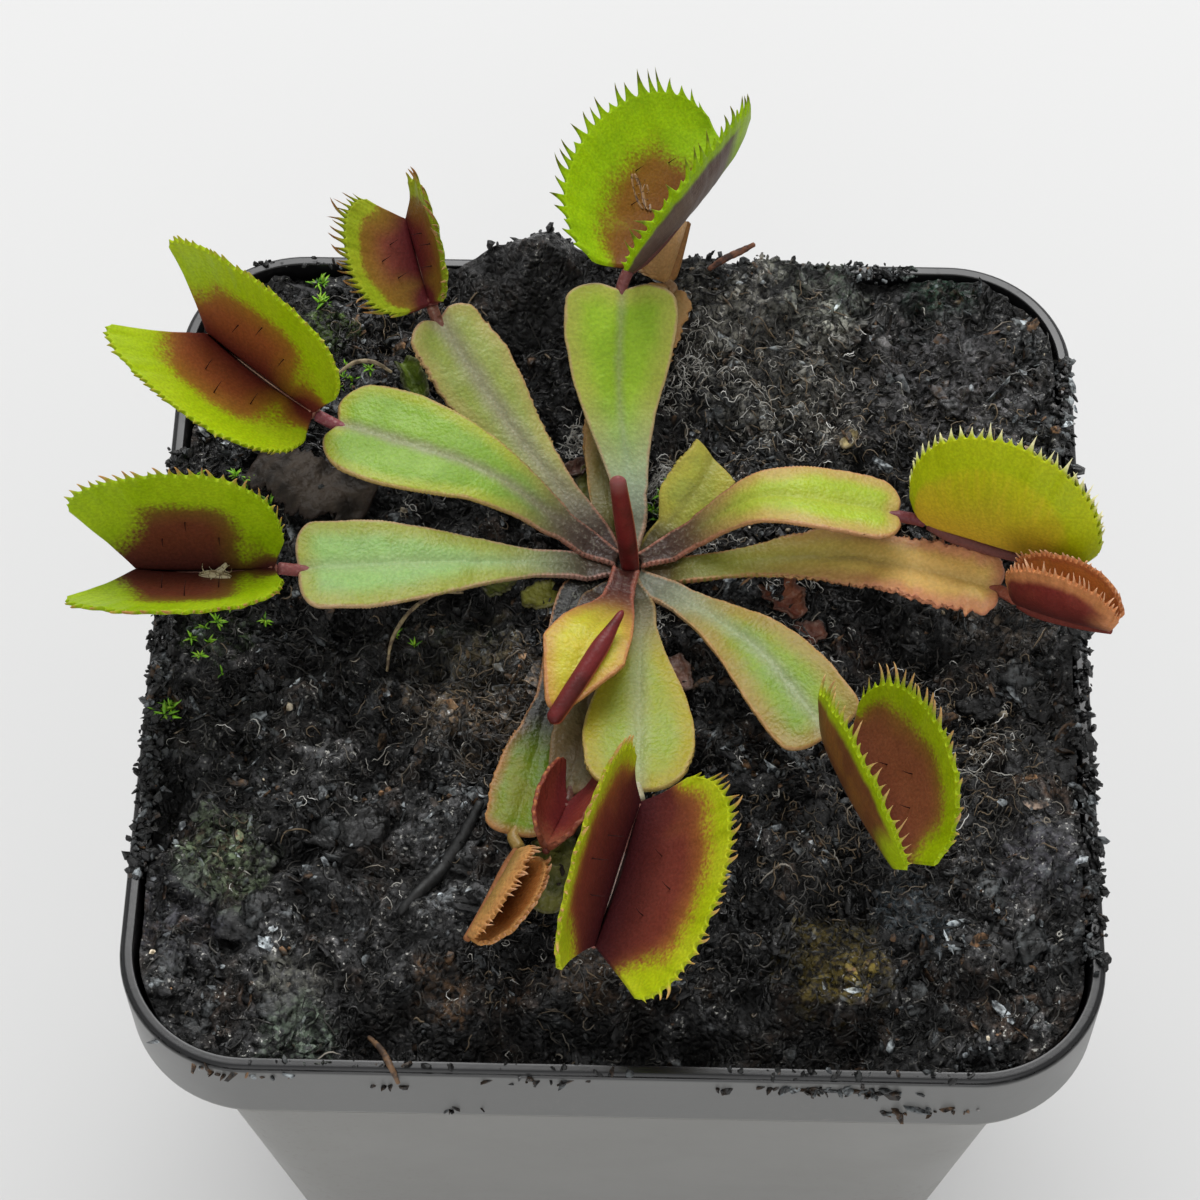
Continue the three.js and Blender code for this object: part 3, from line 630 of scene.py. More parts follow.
def makePeatMaterial():
    n = Finish("damp peat", gloss=0.4)
    coarse, fine = n.noise(200.0, 5.0), n.noise(1300.0, 7.0, Roughness=0.7)
    grain = n.ramp(fine, 0.4, 0.66)
    base = n.mix(n.ramp(coarse, 0.5, 0.66), n.mix(grain, peat["black"], peat["grey"]),
                 n.mix(grain, peat["umber"], peat["brown"]))
    slate = n.times(n.ramp(coarse, 0.42, 0.32), n.ramp(fine, 0.42, 0.62, 0.0, 0.7))
    base = n.mix(slate, base, peat["slate"])
    base = n.mix(n.ramp(n.noise(3200.0, 3.0), 0.6, 0.7, 0.0, 0.85), base, peat["glint"])
    height = n.plus(fine, n.times(n.cells(1500.0), 1.5))
    return n.done(dampedAndShaded(n, base), n.ramp(fine, 0.35, 0.7, 0.2, 0.7), height, 0.9, 0.0005)


def onRoundedSquare(a, b, half, corner):
    # a grid over -1 to 1 drawn out to a square with rounded corners
    reach = np.maximum(np.maximum(abs(a), abs(b)), 1e-9)
    straight = half - corner
    out = []
    for main, other in ((a / reach, b / reach), (b / reach, a / reach)):
        over = np.clip((abs(other) * half - straight) / corner, 0, 1)
        under = np.clip((abs(main) * half - straight) / corner, 0, 1)
        turn = np.pi / 4 * np.where(abs(main) >= abs(other), over, 2 - under)
        curved = straight + corner * np.cos(turn)
        edge = np.where(abs(main) >= abs(other), np.where(over > 0, curved, half),
                        np.where(under > 0, curved, abs(main) * half))
        out.append(np.sign(main) * edge * reach)
    return out[0], out[1], reach


def makePeat():
    half, corner, grid = peat["half"], peat["corner"], peat["grid"]
    q = np.linspace(-1, 1, grid + 1)
    a, b = np.meshgrid(q, q, indexing="ij")
    x, y, reach = onRoundedSquare(a, b, half, corner)
    relief = peatRelief(x.ravel(), y.ravel()).reshape(x.shape) * mix(0.5, 1, smooth(1.0, 0.95, reach))
    z = peatHeight(x, y) + relief
    # the relief mark, with the fine lumps weighted up, sets the painted shade in the hollows and the painted highlight
    # on the ridges
    relief = peatRelief(x.ravel(), y.ravel(), 2.4)
    top = np.stack([x, y, z], -1)
    index = np.arange(x.size).reshape(x.shape)
    ring = np.concatenate([index[:-1, 0], index[-1, :-1], index[:0:-1, -1], index[0, :0:-1]])
    border = top.reshape(-1, 3)[ring]
    rings = []
    for halfLow, zLow in ((half, 73.5), (31.2, 72.8), (22.7, 2.2)):
        rings.append(np.column_stack([border[:, :2] * halfLow / half, np.full(len(ring), zLow)]))
    points = np.vstack([top.reshape(-1, 3)] + rings + [[[0, 0, 2.2]]])
    count = len(ring)
    bands = [ring] + [x.size + k * count + np.arange(count) for k in range(3)]
    sides = [np.stack([upper, lower, np.roll(lower, -1), np.roll(upper, -1)], -1)
             for upper, lower in zip(bands, bands[1:])]
    foot = np.stack([bands[-1], np.full(count, len(points) - 1), np.roll(bands[-1], -1)], -1)
    # the sides against the pot get the darkest painted shade
    relief = np.concatenate([relief.ravel(), np.full(len(points) - relief.size, -1.0)])
    shell = {"points": points, "faces": [gridQuads(index), np.vstack(sides), foot], "marks": {"relief": relief}}
    buildPiece("peatBed", [shell], makePeatMaterial(), ["peat"])


makePeat()
print("peat made")


# leaves: each has a stalk with its blade, and most have a trap

plant = {
    "crownAt": (0.6, 5.4), "pitFloor": 75.3, "stemCircle": 3.4, "stemTop": 81.6, "stemWidth": 1.0,
    "sheathStart": 0.9, "sheathWidth": 2.3, "baseThick": 1.15, "bladeMiddle": 0.75, "bladeEdge": 0.42,
    "lobeMiddle": 0.6, "lobeEdge": 0.34, "ribRadius": 0.5,
}

# how fine the meshes are: places along a stalk, points across and along its blade, rings of its stem,
# points along a margin, rows on a lobe and on its teeth, and steps in a tooth
leafMesh = {"stations": 260, "across": 45, "rows": 150, "stem": 44, "margin": 600, "lobe": 34, "tooth": 7, "steps": 10}

# what a leaf has unless its own row says otherwise
leafUsual = {"roll": 0, "ragged": 0.0, "slender": 1.15, "slant": 0, "kite": 0, "trap": None}
trapUsual = {"flare": 0.12}

# stem is the angle on the crown, rise the collar's height, mid and end places on the blade, peak where it is
# widest; lobes are how far the two lean, heel and toe each lobe's reach past the rib and its height there
leaves = {
    "leaf_back": {"stem": 88, "rise": 0.6, "mid": (-0.3, 17.5, 86), "end": (-0.3, 25.3, 89.8), "neck": 2.4,
        "wide": 8.6, "peak": 0.88, "ruffle": 0.1, "tipSquare": 0.94, "corner": 1.5, "heart": 0.45,
        "trap": {"start": (0.3, 26.6, 90.4), "finish": (7.8, 38.4, 90), "lobes": (-59, 15), "heel": (-1.8, 2.2),
            "toe": (0.8, 2.8), "depths": (9.1, 8.2), "spine": 1.75, "bow": 0.9, "teeth": 25, "sharp": 1.9}},
    "leaf_back_left": {"stem": 133, "rise": 0, "mid": (-8.8, 16, 84.8), "end": (-14.4, 23.6, 87.8), "neck": 1.8,
        "wide": 6.6, "peak": 0.82, "ruffle": 0.25, "tipSquare": 0.82, "corner": 1.6, "heart": 0.5, "ragged": 0.16,
        "trap": {"start": (-14.8, 24.4, 88.3), "finish": (-16.8, 30.4, 91), "lobes": (-65, 11), "heel": (-0.4, 2.4),
            "toe": (2, 3), "depths": (6, 6), "spine": 1.9, "bow": 0.5, "teeth": 25, "sharp": 3.0}},
    "leaf_left_upper": {"stem": 156, "rise": 0.8, "mid": (-9.9, 10, 87), "end": (-21.6, 13.8, 87.8), "neck": 2.6,
        "wide": 8.4, "peak": 0.82, "ruffle": 0.15, "tipSquare": 0.78, "corner": 2.1, "heart": 0.5,
        "trap": {"start": (-23.2, 14.5, 88), "finish": (-31.3, 19.9, 90.4), "lobes": (-60, 8), "heel": (-1.2, 3.3),
            "toe": (5, 6.3), "depths": (9.6, 9.6), "spine": 0.85, "bow": 0.6, "teeth": 34, "sharp": 1.9}},
    "leaf_left_lower": {"stem": 188, "rise": 0.4, "mid": (-12.6, 3.2, 85.4), "end": (-23.6, 1.5, 87), "neck": 1.8,
        "wide": 7.6, "peak": 0.84, "ruffle": 0.12, "tipSquare": 0.92, "corner": 1.5, "heart": 0.1,
        "trap": {"start": (-25.2, 1.2, 87.5), "finish": (-35.2, 0.7, 87.8), "lobes": (-50, 15), "heel": (-0.7, 2.3),
            "toe": (4.4, 5.8), "depths": (9.2, 9.2), "spine": 1.5, "bow": 0.5, "teeth": 28, "sharp": 2.4}},
    "leaf_right_upper": {"stem": 20, "rise": 0.8, "mid": (10.4, 7.7, 88), "end": (20.6, 7.1, 87), "neck": 2.4,
        "wide": 6.3, "peak": 0.8, "roll": -14, "ruffle": 0.1, "tipSquare": 0.84, "corner": 1.8, "heart": 0.2,
        "trap": {"start": (22.9, 7, 86), "finish": (33.2, 2.2, 88.2), "lobes": (-26, -14), "heel": (-1.5, 1.6),
            "toe": (1.6, 1.6), "depths": (8.0, 9.6), "spine": 1.15, "bow": 1.3, "teeth": 31, "sharp": 2.2}},
    "leaf_right_lower": {"stem": 352, "rise": 0, "mid": (16, 5.2, 84), "end": (28, 2, 85), "neck": 2, "wide": 5.2,
        "peak": 0.7, "ruffle": 0.45, "tipSquare": 0.9, "corner": 1.1, "heart": 0.2, "ragged": 0.45,
        "trap": {"start": (29.3, 0.4, 86), "finish": (35.4, -3, 88.4), "lobes": (-17, 8), "heel": (-0.2, 2.3),
            "toe": (1, 1.2), "depths": (5.1, 5.7), "spine": 0.9, "bow": 0.8, "teeth": 28, "sharp": 2.6}},
    "leaf_front_right": {"stem": 318, "rise": 0.2, "mid": (9.9, -3.6, 85.5), "end": (15.2, -11.2, 86.3),
        "neck": 2.2, "wide": 7, "peak": 0.8, "ruffle": 0.2, "tipSquare": 0.9, "corner": 1.3, "heart": 0.1,
        "trap": {"start": (15.8, -12.7, 86.5), "finish": (19.5, -22.3, 89), "lobes": (-36, 8), "heel": (-1.3, 3.6),
            "toe": (3, 2.7), "depths": (8.8, 8.8), "spine": 1.75, "bow": 1, "teeth": 27, "sharp": 3.0}},
    "leaf_front": {"stem": 282, "rise": 0.2, "mid": (1.6, -7.3, 84.8), "end": (1.6, -16.2, 87), "neck": 1.8,
        "wide": 8, "peak": 0.74, "ruffle": 0.1, "tipSquare": 0.72, "corner": 2.0, "heart": 0.2,
        "trap": {"start": (1.7, -17.4, 87.5), "finish": (-1.2, -27.8, 86.2), "lobes": (-51, 10),
            "heel": (-1.9, 3.9), "toe": (3.8, 5.3), "depths": (10, 10), "spine": 1.6, "bow": 0.7, "teeth": 31,
            "sharp": 2.8}},
    "leaf_small_front": {"stem": 236, "rise": -0.2, "mid": (-2.3, -9.3, 83.8), "end": (-3.3, -15.2, 84.4),
        "neck": 1.4, "wide": 4.4, "peak": 0.7, "ruffle": 0.15, "tipSquare": 0.6, "corner": 1.2, "heart": 0,
        "trap": {"start": (-3.4, -16.1, 84.4), "finish": (-4.7, -20.4, 86.2), "lobes": (-42, 34),
            "heel": (-2.6, 1.9), "toe": (0, 0.7), "depths": (3.2, 3.2), "spine": 0.16, "bow": 0.3, "teeth": 12,
            "sharp": 1.2}},
    "leaf_old_front": {"stem": 213, "rise": -0.3, "mid": (-4.9, -6.6, 82.3), "end": (-7.2, -17.9, 83), "neck": 1.4,
        "wide": 5, "peak": 0.82, "ruffle": 0.3, "tipSquare": 0.85, "corner": 1.2, "heart": 0.1, "ragged": 0.12,
        "slender": 3.0,
        "trap": {"start": (-6.7, -19.2, 83), "finish": (-9.9, -26.6, 84.4), "lobes": (-52, -24), "heel": (0.8, 1.8),
            "toe": (0.6, 1.2), "depths": (4.3, 4.3), "spine": 0.85, "bow": 0.4, "teeth": 24, "sharp": 2.6,
            "flare": 0.3}},
    "leaf_old_back": {"stem": 111, "rise": -0.3, "mid": (-1.5, 16, 82.6), "end": (3.6, 29.4, 84), "neck": 1.6,
        "wide": 4.8, "peak": 0.7, "ruffle": 0.4, "tipSquare": 0.7, "corner": 1.2, "heart": 0.1, "ragged": 0.35,
        "trap": {"start": (3, 30.2, 84), "finish": (4.4, 33.6, 87), "lobes": (-70, -30), "heel": (0, 1),
            "toe": (0.3, 1), "depths": (3.4, 3.4), "spine": 0.8, "bow": 0.9, "teeth": 16, "sharp": 3.4}},
    "leaf_old_right": {"stem": 46, "rise": -0.2, "mid": (5.8, 11.5, 83.4), "end": (6.9, 13.7, 84.1), "neck": 1.6,
        "wide": 5, "peak": 0.5, "roll": 20, "ruffle": 0.1, "tipSquare": 0.75, "corner": 0.3, "heart": 0,
        "ragged": 0.1, "slant": 0.8},
    "leaf_young_folded": {"stem": 259, "rise": 1.4, "mid": (-1.8, -4.1, 87.9), "end": (-4.4, -10.4, 88),
        "neck": 3.2, "wide": 6.4, "peak": 0.66, "ruffle": 0, "tipSquare": 0.16, "corner": 0.3, "heart": 0,
        "kite": 0.85},
}

# each look has its colours, named in stalkTones and trapTones, and then its other values
stalkTones = ("blade", "patch", "fringe", "rib", "foot", "heart", "edge", "neck")
stalkUsual = {"fringeWidth": 0.3, "fringeBlend": 1.1, "fringeShare": 0.8, "ribWidth": 0.15, "ribBlend": 0.9,
              "ribShare": 0.6, "footStart": 0.0, "footEnd": 0.4, "heartEnd": 0.24, "edgeWidth": 0.05}
stalkLooks = {
    # the back leaf's pale grey-green foot is partly its pale skin and partly painted sheen, a reflection of the sky
    "leaf_back": ("8cac22 7fa016 9a9a40 80786a 8fa088 6a6a58 b08670 6b3a38",
         {"ribShare": 0.36, "fringeBlend": 1.9, "ribBlend": 0.7, "footEnd": 0.6, "ribWidth": 0.05}),
    "leaf_back_left": ("8c964e 84903c 9c9550 86806c 625c4a 3e302a a8735c 6e4438",
         {"ribShare": 0.75, "ribBlend": 1.3}),
    "leaf_left_upper": ("7c9e2e 74962c 9aa02e 8b8370 5f5446 33241e a8705e 7c3f45",
         {"ribShare": 0.65, "ribBlend": 0.8, "footEnd": 0.5, "heartEnd": 0.3}),
    "leaf_left_lower": ("7c9e54 84a85a 8e8c28 8d9a74 666e4e 3c3026 b5867a 7b4543",
         {"ribShare": 0.4, "ribBlend": 1.0, "fringeBlend": 1.8}),
    "leaf_right_upper": ("9cb020 94a81e b08c50 9c8f4c 5e4636 3a2820 b3745f 6b3338",
         {"ribShare": 0.25, "ribBlend": 1.2, "footEnd": 0.5, "fringeBlend": 1.5}),
    "leaf_right_lower": ("dcb866 d0a85a c07c5c 94804c 8a9434 46391e b7745a 8a4a3a",
         {"ribShare": 0.4, "ribBlend": 0.8, "footEnd": 0.8}),
    # the front right leaf's pale grey rib is partly its pale midrib and partly a painted glossy streak
    "leaf_front_right": ("6c8a18 7a9222 9c7040 989a86 7c8466 6a6c5c b2835b 8b6d55",
         {"ribShare": 0.55, "ribBlend": 1.0, "fringeBlend": 2.0, "fringeShare": 0.65}),
    "leaf_front": ("84942c 8c9430 9c8c1c 93977c 645c40 55503c a98a58 a09a80",
         {"ribShare": 0.5, "ribBlend": 1.1, "fringeBlend": 1.6}),
    "leaf_small_front": ("6a5a3c 5a5434 74603f 6e5e48 4a3026 30241c 7d6340 5a3a30",
         {"footEnd": 0.7, "footStart": 0.35, "ribShare": 0.3}),
    # the old front leaf's near-black foot and heart are painted shadow under the folded young trap, over its own dark
    # brown
    "leaf_old_front": ("5e7a08 6e7410 98603e 6a7020 14130d 100e0a b07c50 8a7038",
         {"footEnd": 0.78, "fringeBlend": 0.9, "footStart": 0.54, "ribShare": 0.15, "fringeWidth": 0.1,
          "fringeShare": 0.7}),
    "leaf_old_back": ("9a7f4c 86753f a8804e 75664a 5e5c26 4a4420 a87c4c 8a6a48", {"footEnd": 0.6}),
    "leaf_old_right": ("9c9c34 8f9438 a69e3c 8b8a3c 6b6630 4c4424 a8964a 6d6238", {}),
    "leaf_young_folded": ("b6b02a bcae2c b4883c c0a834 7c4a34 502a24 a8604c 6b2b2c",
         {"ribShare": 0.2, "footEnd": 0.62, "edgeWidth": 0.08}),
}

trapTones = ("deep", "middle", "warm", "margin", "marginPatch", "outer", "outerPatch", "outerDeep", "tooth", "rib")
trapLookUsual = {"deepTo": 4.0, "warmBlend": 2.6, "tipReach": 1.5, "outerTo": 6.0, "outerMargin": 0.4,
                 "toothFrom": 0.1, "bump": 0.3, "line": "9a6c60"}
trapLooks = {
    "leaf_back": ("6e4018 785018 80780e 92b404 88aa04 6d5d52 5d4a42 402a26 66701a 5f3a34",
         {"marginWidth": 2.3, "marginBlend": 3.0, "toothFrom": 0.45, "tipReach": 3.4}),
    "leaf_back_left": ("541c20 763c2a 80661c 88981a 929e20 7a4a30 84602c 5c2a26 9a7448 6b3a35",
         {"marginWidth": 0.9, "marginBlend": 0.7, "tipReach": -0.4}),
    "leaf_left_upper": ("5a211c 8a4a28 92701c 98b008 9cb010 7a7a24 6c5a2c 5c3a26 a8a23a 9a6a58",
         {"marginWidth": 2.7, "marginBlend": 1.8, "tipReach": 3.2, "line": "b8937c", "warmBlend": 3.4}),
    "leaf_left_lower": ("46201c 643222 6c5a18 86a004 90a80c 6f7a1c 6a5a24 5c3a26 b4874e 8a5a4e",
         {"marginWidth": 2.3, "marginBlend": 1.5, "tipReach": 3.8}),
    "leaf_right_upper": ("a8861c aa921a a09008 a4b004 aab40c b0b20c a8aa14 c8a82c e6dfae 6e4440",
         {"marginWidth": 2.0, "marginBlend": 1.6, "outerMargin": 1.8, "outerTo": 8.0}),
    "leaf_right_lower": ("bc7a4e c88850 c89050 c07e50 b07244 7a2e28 8a3c2e 50201c d8a884 6a3028",
         {"marginWidth": 0.2, "marginBlend": 0.7, "tipReach": 0.2}),
    "leaf_front_right": ("5e2c22 7e4a30 8a6c24 92a804 9cb010 6a4024 7a5024 50301e c09a64 7a4a3a",
         {"marginWidth": 1.0, "marginBlend": 1.8, "outerMargin": 0.3, "tipReach": 1.2}),
    "leaf_front": ("3e161a 703428 a8702a a2b010 acb41c 6a3a20 7e5a20 4c2018 c49a5c 8a5a52",
         {"marginWidth": 0.6, "marginBlend": 2.7, "line": "b49a90", "tipReach": 1.8, "deepTo": 6.5,
          "warmBlend": 3.8}),
    "leaf_small_front": ("5c1e1e 6a2826 7a3426 7a4430 6e3a2a 5c3226 6a4030 5c3226 a86a44 6a3a34",
         {"marginWidth": -0.1, "marginBlend": 0.3, "tipReach": 0.1}),
    "leaf_old_front": ("6a3a1c 94582a ac6e36 bc8850 b07e48 c89a62 b88c50 8a6a34 cf9f78 8a5a38",
         {"marginWidth": 0.1, "marginBlend": 0.5, "bump": 0.8, "tipReach": 0.2}),
    "leaf_old_back": ("9a7048 a87c50 b08a58 d4a874 c49866 dcae7a c09660 a88050 e0c098 8a6238",
         {"marginWidth": 0.2, "marginBlend": 0.6, "bump": 0.9, "tipReach": 0.2}),
}


def lookOf(name, looks, tones, usual):
    codes, own = looks[name]
    return {**usual, **dict(zip(tones, codes.split())), **own}


def distanceTo(points, outline):
    nearest = np.full(points.shape[:-1], 99.0)
    for point in outline:
        nearest = np.minimum(nearest, np.linalg.norm(points - point, axis=-1))
    return nearest


def stalkShells(leaf, seed):
    # the winged blade with its sheath at the crown, and one round stem under it that runs on to the trap
    angle = math.radians(leaf["stem"])
    outward = np.array([math.cos(angle), math.sin(angle), 0])
    centre = np.array([*plant["crownAt"], 0.0])
    root = centre + outward * plant["stemCircle"] + [0, 0, plant["pitFloor"]]
    collar = np.array([root[0], root[1], plant["stemTop"] + leaf["rise"]])
    inner = centre + outward * plant["sheathStart"] + [0, 0, collar[2] - 0.55]
    end = np.array(leaf["end"], float)
    route = smoothRoute([collar, collar + outward * 1.2 + [0, 0, 0.7], leaf["mid"], end])
    length = np.linalg.norm(np.diff(route, axis=0), axis=1).sum()
    startSide = np.array([-math.sin(angle), math.cos(angle), 0])
    heading = end - collar
    endSide = unit(np.array([-heading[1], heading[0], 0]))

    # frames down the middle, from the sheath's start (below 0) to a little past the blade's end (above 1)
    start = -np.linalg.norm(collar - inner) / length
    over = 1.3 / length
    b = np.linspace(start, 1 + over, leafMesh["stations"])
    inside = np.clip(b, 0, 1)
    middle, along = alongRoute(route, inside)
    before, after = np.minimum(b, 0)[:, None], np.maximum(b - 1, 0)[:, None]
    middle = middle + before / -start * (collar - inner) + after * length * along
    side = mix(startSide, endSide, np.minimum(2 * inside, 1)[:, None])
    side = unit(side - along * np.sum(side * along, -1, keepdims=True))
    turn = np.radians(leaf["roll"]) * inside[:, None]
    side = side * np.cos(turn) + np.cross(along, side) * np.sin(turn)
    up = np.cross(along, side)
    neck = mix(plant["stemWidth"], leaf["neck"], np.minimum(inside / 0.15, 1)) / 2
    rising = mix(neck, leaf["wide"] / 2, smooth(0, leaf["peak"], inside) ** leaf["slender"])
    past = np.clip((inside - leaf["peak"]) / (1 - leaf["peak"]), 0, 1)
    falling = leaf["wide"] / 2 * np.sqrt(1 - past**2 * (1 - leaf["tipSquare"] ** 2))
    half = np.where(inside < leaf["peak"], rising, falling)
    if leaf["kite"]:
        straight = np.where(inside < leaf["peak"], mix(neck[0] + 0.6, leaf["wide"] / 2, inside / leaf["peak"]),
                            leaf["wide"] / 2 * mix(1, leaf["tipSquare"], past))
        half = mix(half, straight, leaf["kite"])
    sheath = plant["sheathWidth"] / 2 * mix(0.55, 1, smooth(start, 0.02, b))
    half = np.where(inside < leaf["peak"], np.maximum(half, sheath), half)

    # each column ends on the rounded, slightly heart-shaped end of the blade
    c = np.sin(np.pi / 2 * np.linspace(-1, 1, leafMesh["across"]))
    ends = length - leaf["corner"] * (1 - np.sqrt(1 - abs(c) ** 4)) + leaf["slant"] * c
    ends = (ends + leaf["heart"] * (smooth(0, 0.5, abs(c)) - 0.4)) / length
    s = np.linspace(0, 1, leafMesh["rows"])
    s = mix(s, np.sin(np.pi / 2 * s), 0.45)
    rows = start + s[:, None] * (ends[None, :] - start)
    c = c[None, :]
    level = np.clip(rows, 0, 1)

    def sample(values):
        if values.ndim == 1:
            return np.interp(rows, b, values)
        return np.stack([np.interp(rows, b, values[:, i]) for i in range(3)], -1)

    softRight, softLeft = waver(9 * b, seed), waver(9 * b, seed + 40.0)
    fineRight, fineLeft = waver(60 * b, seed + 3.0, 4), waver(60 * b, seed + 47.0, 4)
    rough = np.where(c < 0, sample(softLeft), sample(softRight)) * (0.08 + 0.4 * leaf["ruffle"])
    rough = rough + np.where(c < 0, sample(fineLeft), sample(fineRight)) * (0.03 + leaf["ragged"])
    halfHere = sample(half)
    reach = halfHere * c + np.sign(c) * rough * level * abs(c) ** 3 * smooth(1.0, 1.8, halfHere)
    lift = c**2 * level * (0.06 * leaf["wide"] + leaf["ruffle"] * np.sin(14 * level + 2 * c))
    lift = lift + 0.3 * c**2 * (1 - smooth(0, 0.2, level))
    groove = -0.2 * np.exp(-(reach / 0.5) ** 2) * smooth(0.05, 0.25, level)
    grid = sample(middle) + sample(side) * reach[..., None] + sample(up) * (lift + groove)[..., None]
    ripple = noiseOver(grid.reshape(-1, 3), 2.0, 3, seed).reshape(grid.shape[:2])
    grid = grid + sample(up) * (0.09 * ripple * smooth(0.05, 0.3, level))[..., None]

    outline = np.vstack([grid[::2, 0], grid[::2, -1], grid[-1]])
    rim = distanceTo(grid, outline)
    edge = np.minimum(rim, (rows - start) * length)
    body = mix(plant["baseThick"], plant["bladeMiddle"], smooth(0, 0.3, level))
    thick = mix(plant["bladeEdge"], body, smooth(0, 1.8, edge)) * roundEdge(edge, 0.3) + 0.02
    blade = sheetShell(grid, thick, along=rows, rim=rim, mid=abs(reach))

    share = np.linspace(0, 1, leafMesh["stem"])
    below, _ = alongRoute(route, share)
    belowUp = np.stack([np.interp(share, b, up[:, i]) for i in range(3)], -1)
    sink = mix(0.62, 0.2, smooth(0.9, 1.0, share))
    under = below - belowUp * sink[:, None]
    stem = np.vstack([mix(root, under[0], np.linspace(0, 0.85, 8)[:, None]), under[1:]])
    radii = np.concatenate([np.full(8, 0.6), mix(0.55, 0.42, smooth(0, 0.4, share[1:]))])
    return blade, stem, radii


def lobeGrid(trap, lean, depth, outward, seed):
    # one lobe from the rib to its toothed margin, with columns evenly spaced along the margin
    draw = random.Random(seed)
    start = np.array(trap["start"], float)
    along = np.array(trap["finish"], float) - start
    length = np.linalg.norm(along)
    along = along / length
    up = unit(np.array([0, 0, 1.0]) - along * along[2])
    sideways = np.cross(along, up)
    lean = math.radians(lean)
    reach = up * math.cos(lean) + sideways * math.sin(lean)
    back = sideways * math.cos(lean) - up * math.sin(lean)

    def surface(u, v):
        u, v = u[..., None], v[..., None]
        t = (1 - np.cos(np.pi * u)) / 2
        crest = np.clip(np.sin(np.pi * u), 0, 1) ** 0.8
        chord = mix(trap["heel"][1], trap["toe"][1], t)
        margin = (start + along * mix(trap["heel"][0], length + trap["toe"][0], t)
                  + reach * (chord + (depth - chord) * crest))
        rib = mix(start, start + along * length, u) - np.array([0, 0, 1.0]) * (0.2 * length * u * (1 - u))
        return mix(rib, margin, v) + back * outward * trap["bow"] * np.sin(np.pi * v) * (0.3 + 0.7 * crest)

    fine = np.linspace(0, 1, leafMesh["margin"])
    border = surface(fine, np.ones_like(fine))
    run = np.concatenate([[0], np.cumsum(np.linalg.norm(np.diff(border, axis=0), axis=1))])
    teeth, each, ends = trap["teeth"], leafMesh["steps"], 0.015
    gaps = np.array([draw.uniform(0.72, 1.28) for _ in range(teeth)])
    bounds = ends + np.concatenate([[0], np.cumsum(gaps)]) / gaps.sum() * (1 - 2 * ends)
    q = np.linspace(-1, 1, each + 1)[:-1]
    f = np.sign(q) * abs(q) ** 1.6
    shares, cusp, lengths, leans = [0.0], [0], [0.3], [0]
    for k in range(teeth):
        centre, pitch = (bounds[k] + bounds[k + 1]) / 2, bounds[k + 1] - bounds[k]
        size = draw.uniform(0.62, 1.2) * min(1, 0.3 + 6 * min(centre, 1 - centre))
        if draw.random() < 0.12:
            size *= 0.45
        shares += list(centre + f * pitch / 2)
        cusp += list((1 - abs(f)) ** trap["sharp"])
        lengths += [size] * each
        leans += [draw.uniform(-0.35, 0.35)] * each
    shares = np.array(shares + [1 - ends, 1])
    cusp = np.array(cusp + [0, 0])
    lengths = np.array(lengths + [0.3, 0.3])
    leans = np.array(leans + [0, 0])
    u = np.interp(shares * run[-1], run, fine)

    v = np.sin(np.pi / 2 * np.linspace(0, 1, leafMesh["lobe"])) ** 0.9
    w = np.linspace(0, 1, leafMesh["tooth"])[1:]
    U, V = np.meshgrid(u, v, indexing="ij")
    grid = surface(U, V)
    ripple = noiseOver(grid.reshape(-1, 3), 2.6, 2, seed * 1.7).reshape(grid.shape[:2])
    swell = 0.1 * ripple * V * (1 - V) * 4 + 0.16 * waver(shares * 14, seed)[:, None] * V**4
    grid = grid + back * swell[..., None]
    away = unit(grid[:, -1] - grid[:, -4])
    tangent = unit(np.gradient(surface(u, np.ones_like(u)), axis=0))
    high = (cusp * lengths * trap["spine"] + 0.03)[:, None]
    rise = high * w
    teethGrid = (grid[:, -1:] + away[:, None] * rise[..., None]
                 + tangent[:, None] * (leans[:, None] * rise**2 / max(trap["spine"], 0.3) * 0.9)[..., None]
                 - back * outward * (trap["flare"] * rise**2)[..., None])
    full = np.concatenate([grid, teethGrid], 1)

    rim = distanceTo(grid, border[::8])
    mid = np.linalg.norm(grid - grid[:, :1], axis=-1)
    corner = np.linalg.norm(full - border[-12], axis=-1)
    zeros = np.zeros((len(u), len(w)))
    tooth = (cusp * lengths)[:, None] * w[None]
    thick = mix(plant["lobeMiddle"], plant["lobeEdge"], smooth(0.1, 0.9, V))
    sideEdge = np.minimum(shares, 1 - shares)[:, None] * run[-1]
    thickTeeth = plant["lobeEdge"] * np.sqrt(1 - w**2)[None] * mix(1.0, 0.7, cusp[:, None]) + zeros
    thick = np.concatenate([thick, thickTeeth], 1) * roundEdge(sideEdge, 0.3) + 0.01
    marks = {"rim": np.concatenate([rim, zeros], 1), "mid": np.concatenate([mid, mid[:, -1:] + zeros], 1),
             "tooth": np.concatenate([np.zeros_like(rim), tooth], 1), "along": shares[:, None] + 0 * thick,
             "corner": corner}
    k = len(u) // 2
    normal = np.cross(full[k + 1, 16] - full[k - 1, 16], full[k, 18] - full[k, 14])
    if np.dot(normal, back * outward) > 0:  # the face mark is 1 on the inner side
        full, thick = full[:, ::-1], thick[:, ::-1]
        marks = {name: value[:, ::-1] for name, value in marks.items()}
    return full, thick, marks, surface, back * outward


def hairShell(foot, way, length, radius):
    t = np.linspace(0, 1, 7)
    route = foot + way * length * t[:, None] + np.array([0.1, 0.15, -0.1]) * length * t[:, None] ** 2
    return tubeShell(route, radius * (1 - 0.75 * t), 6, hair=1.0)


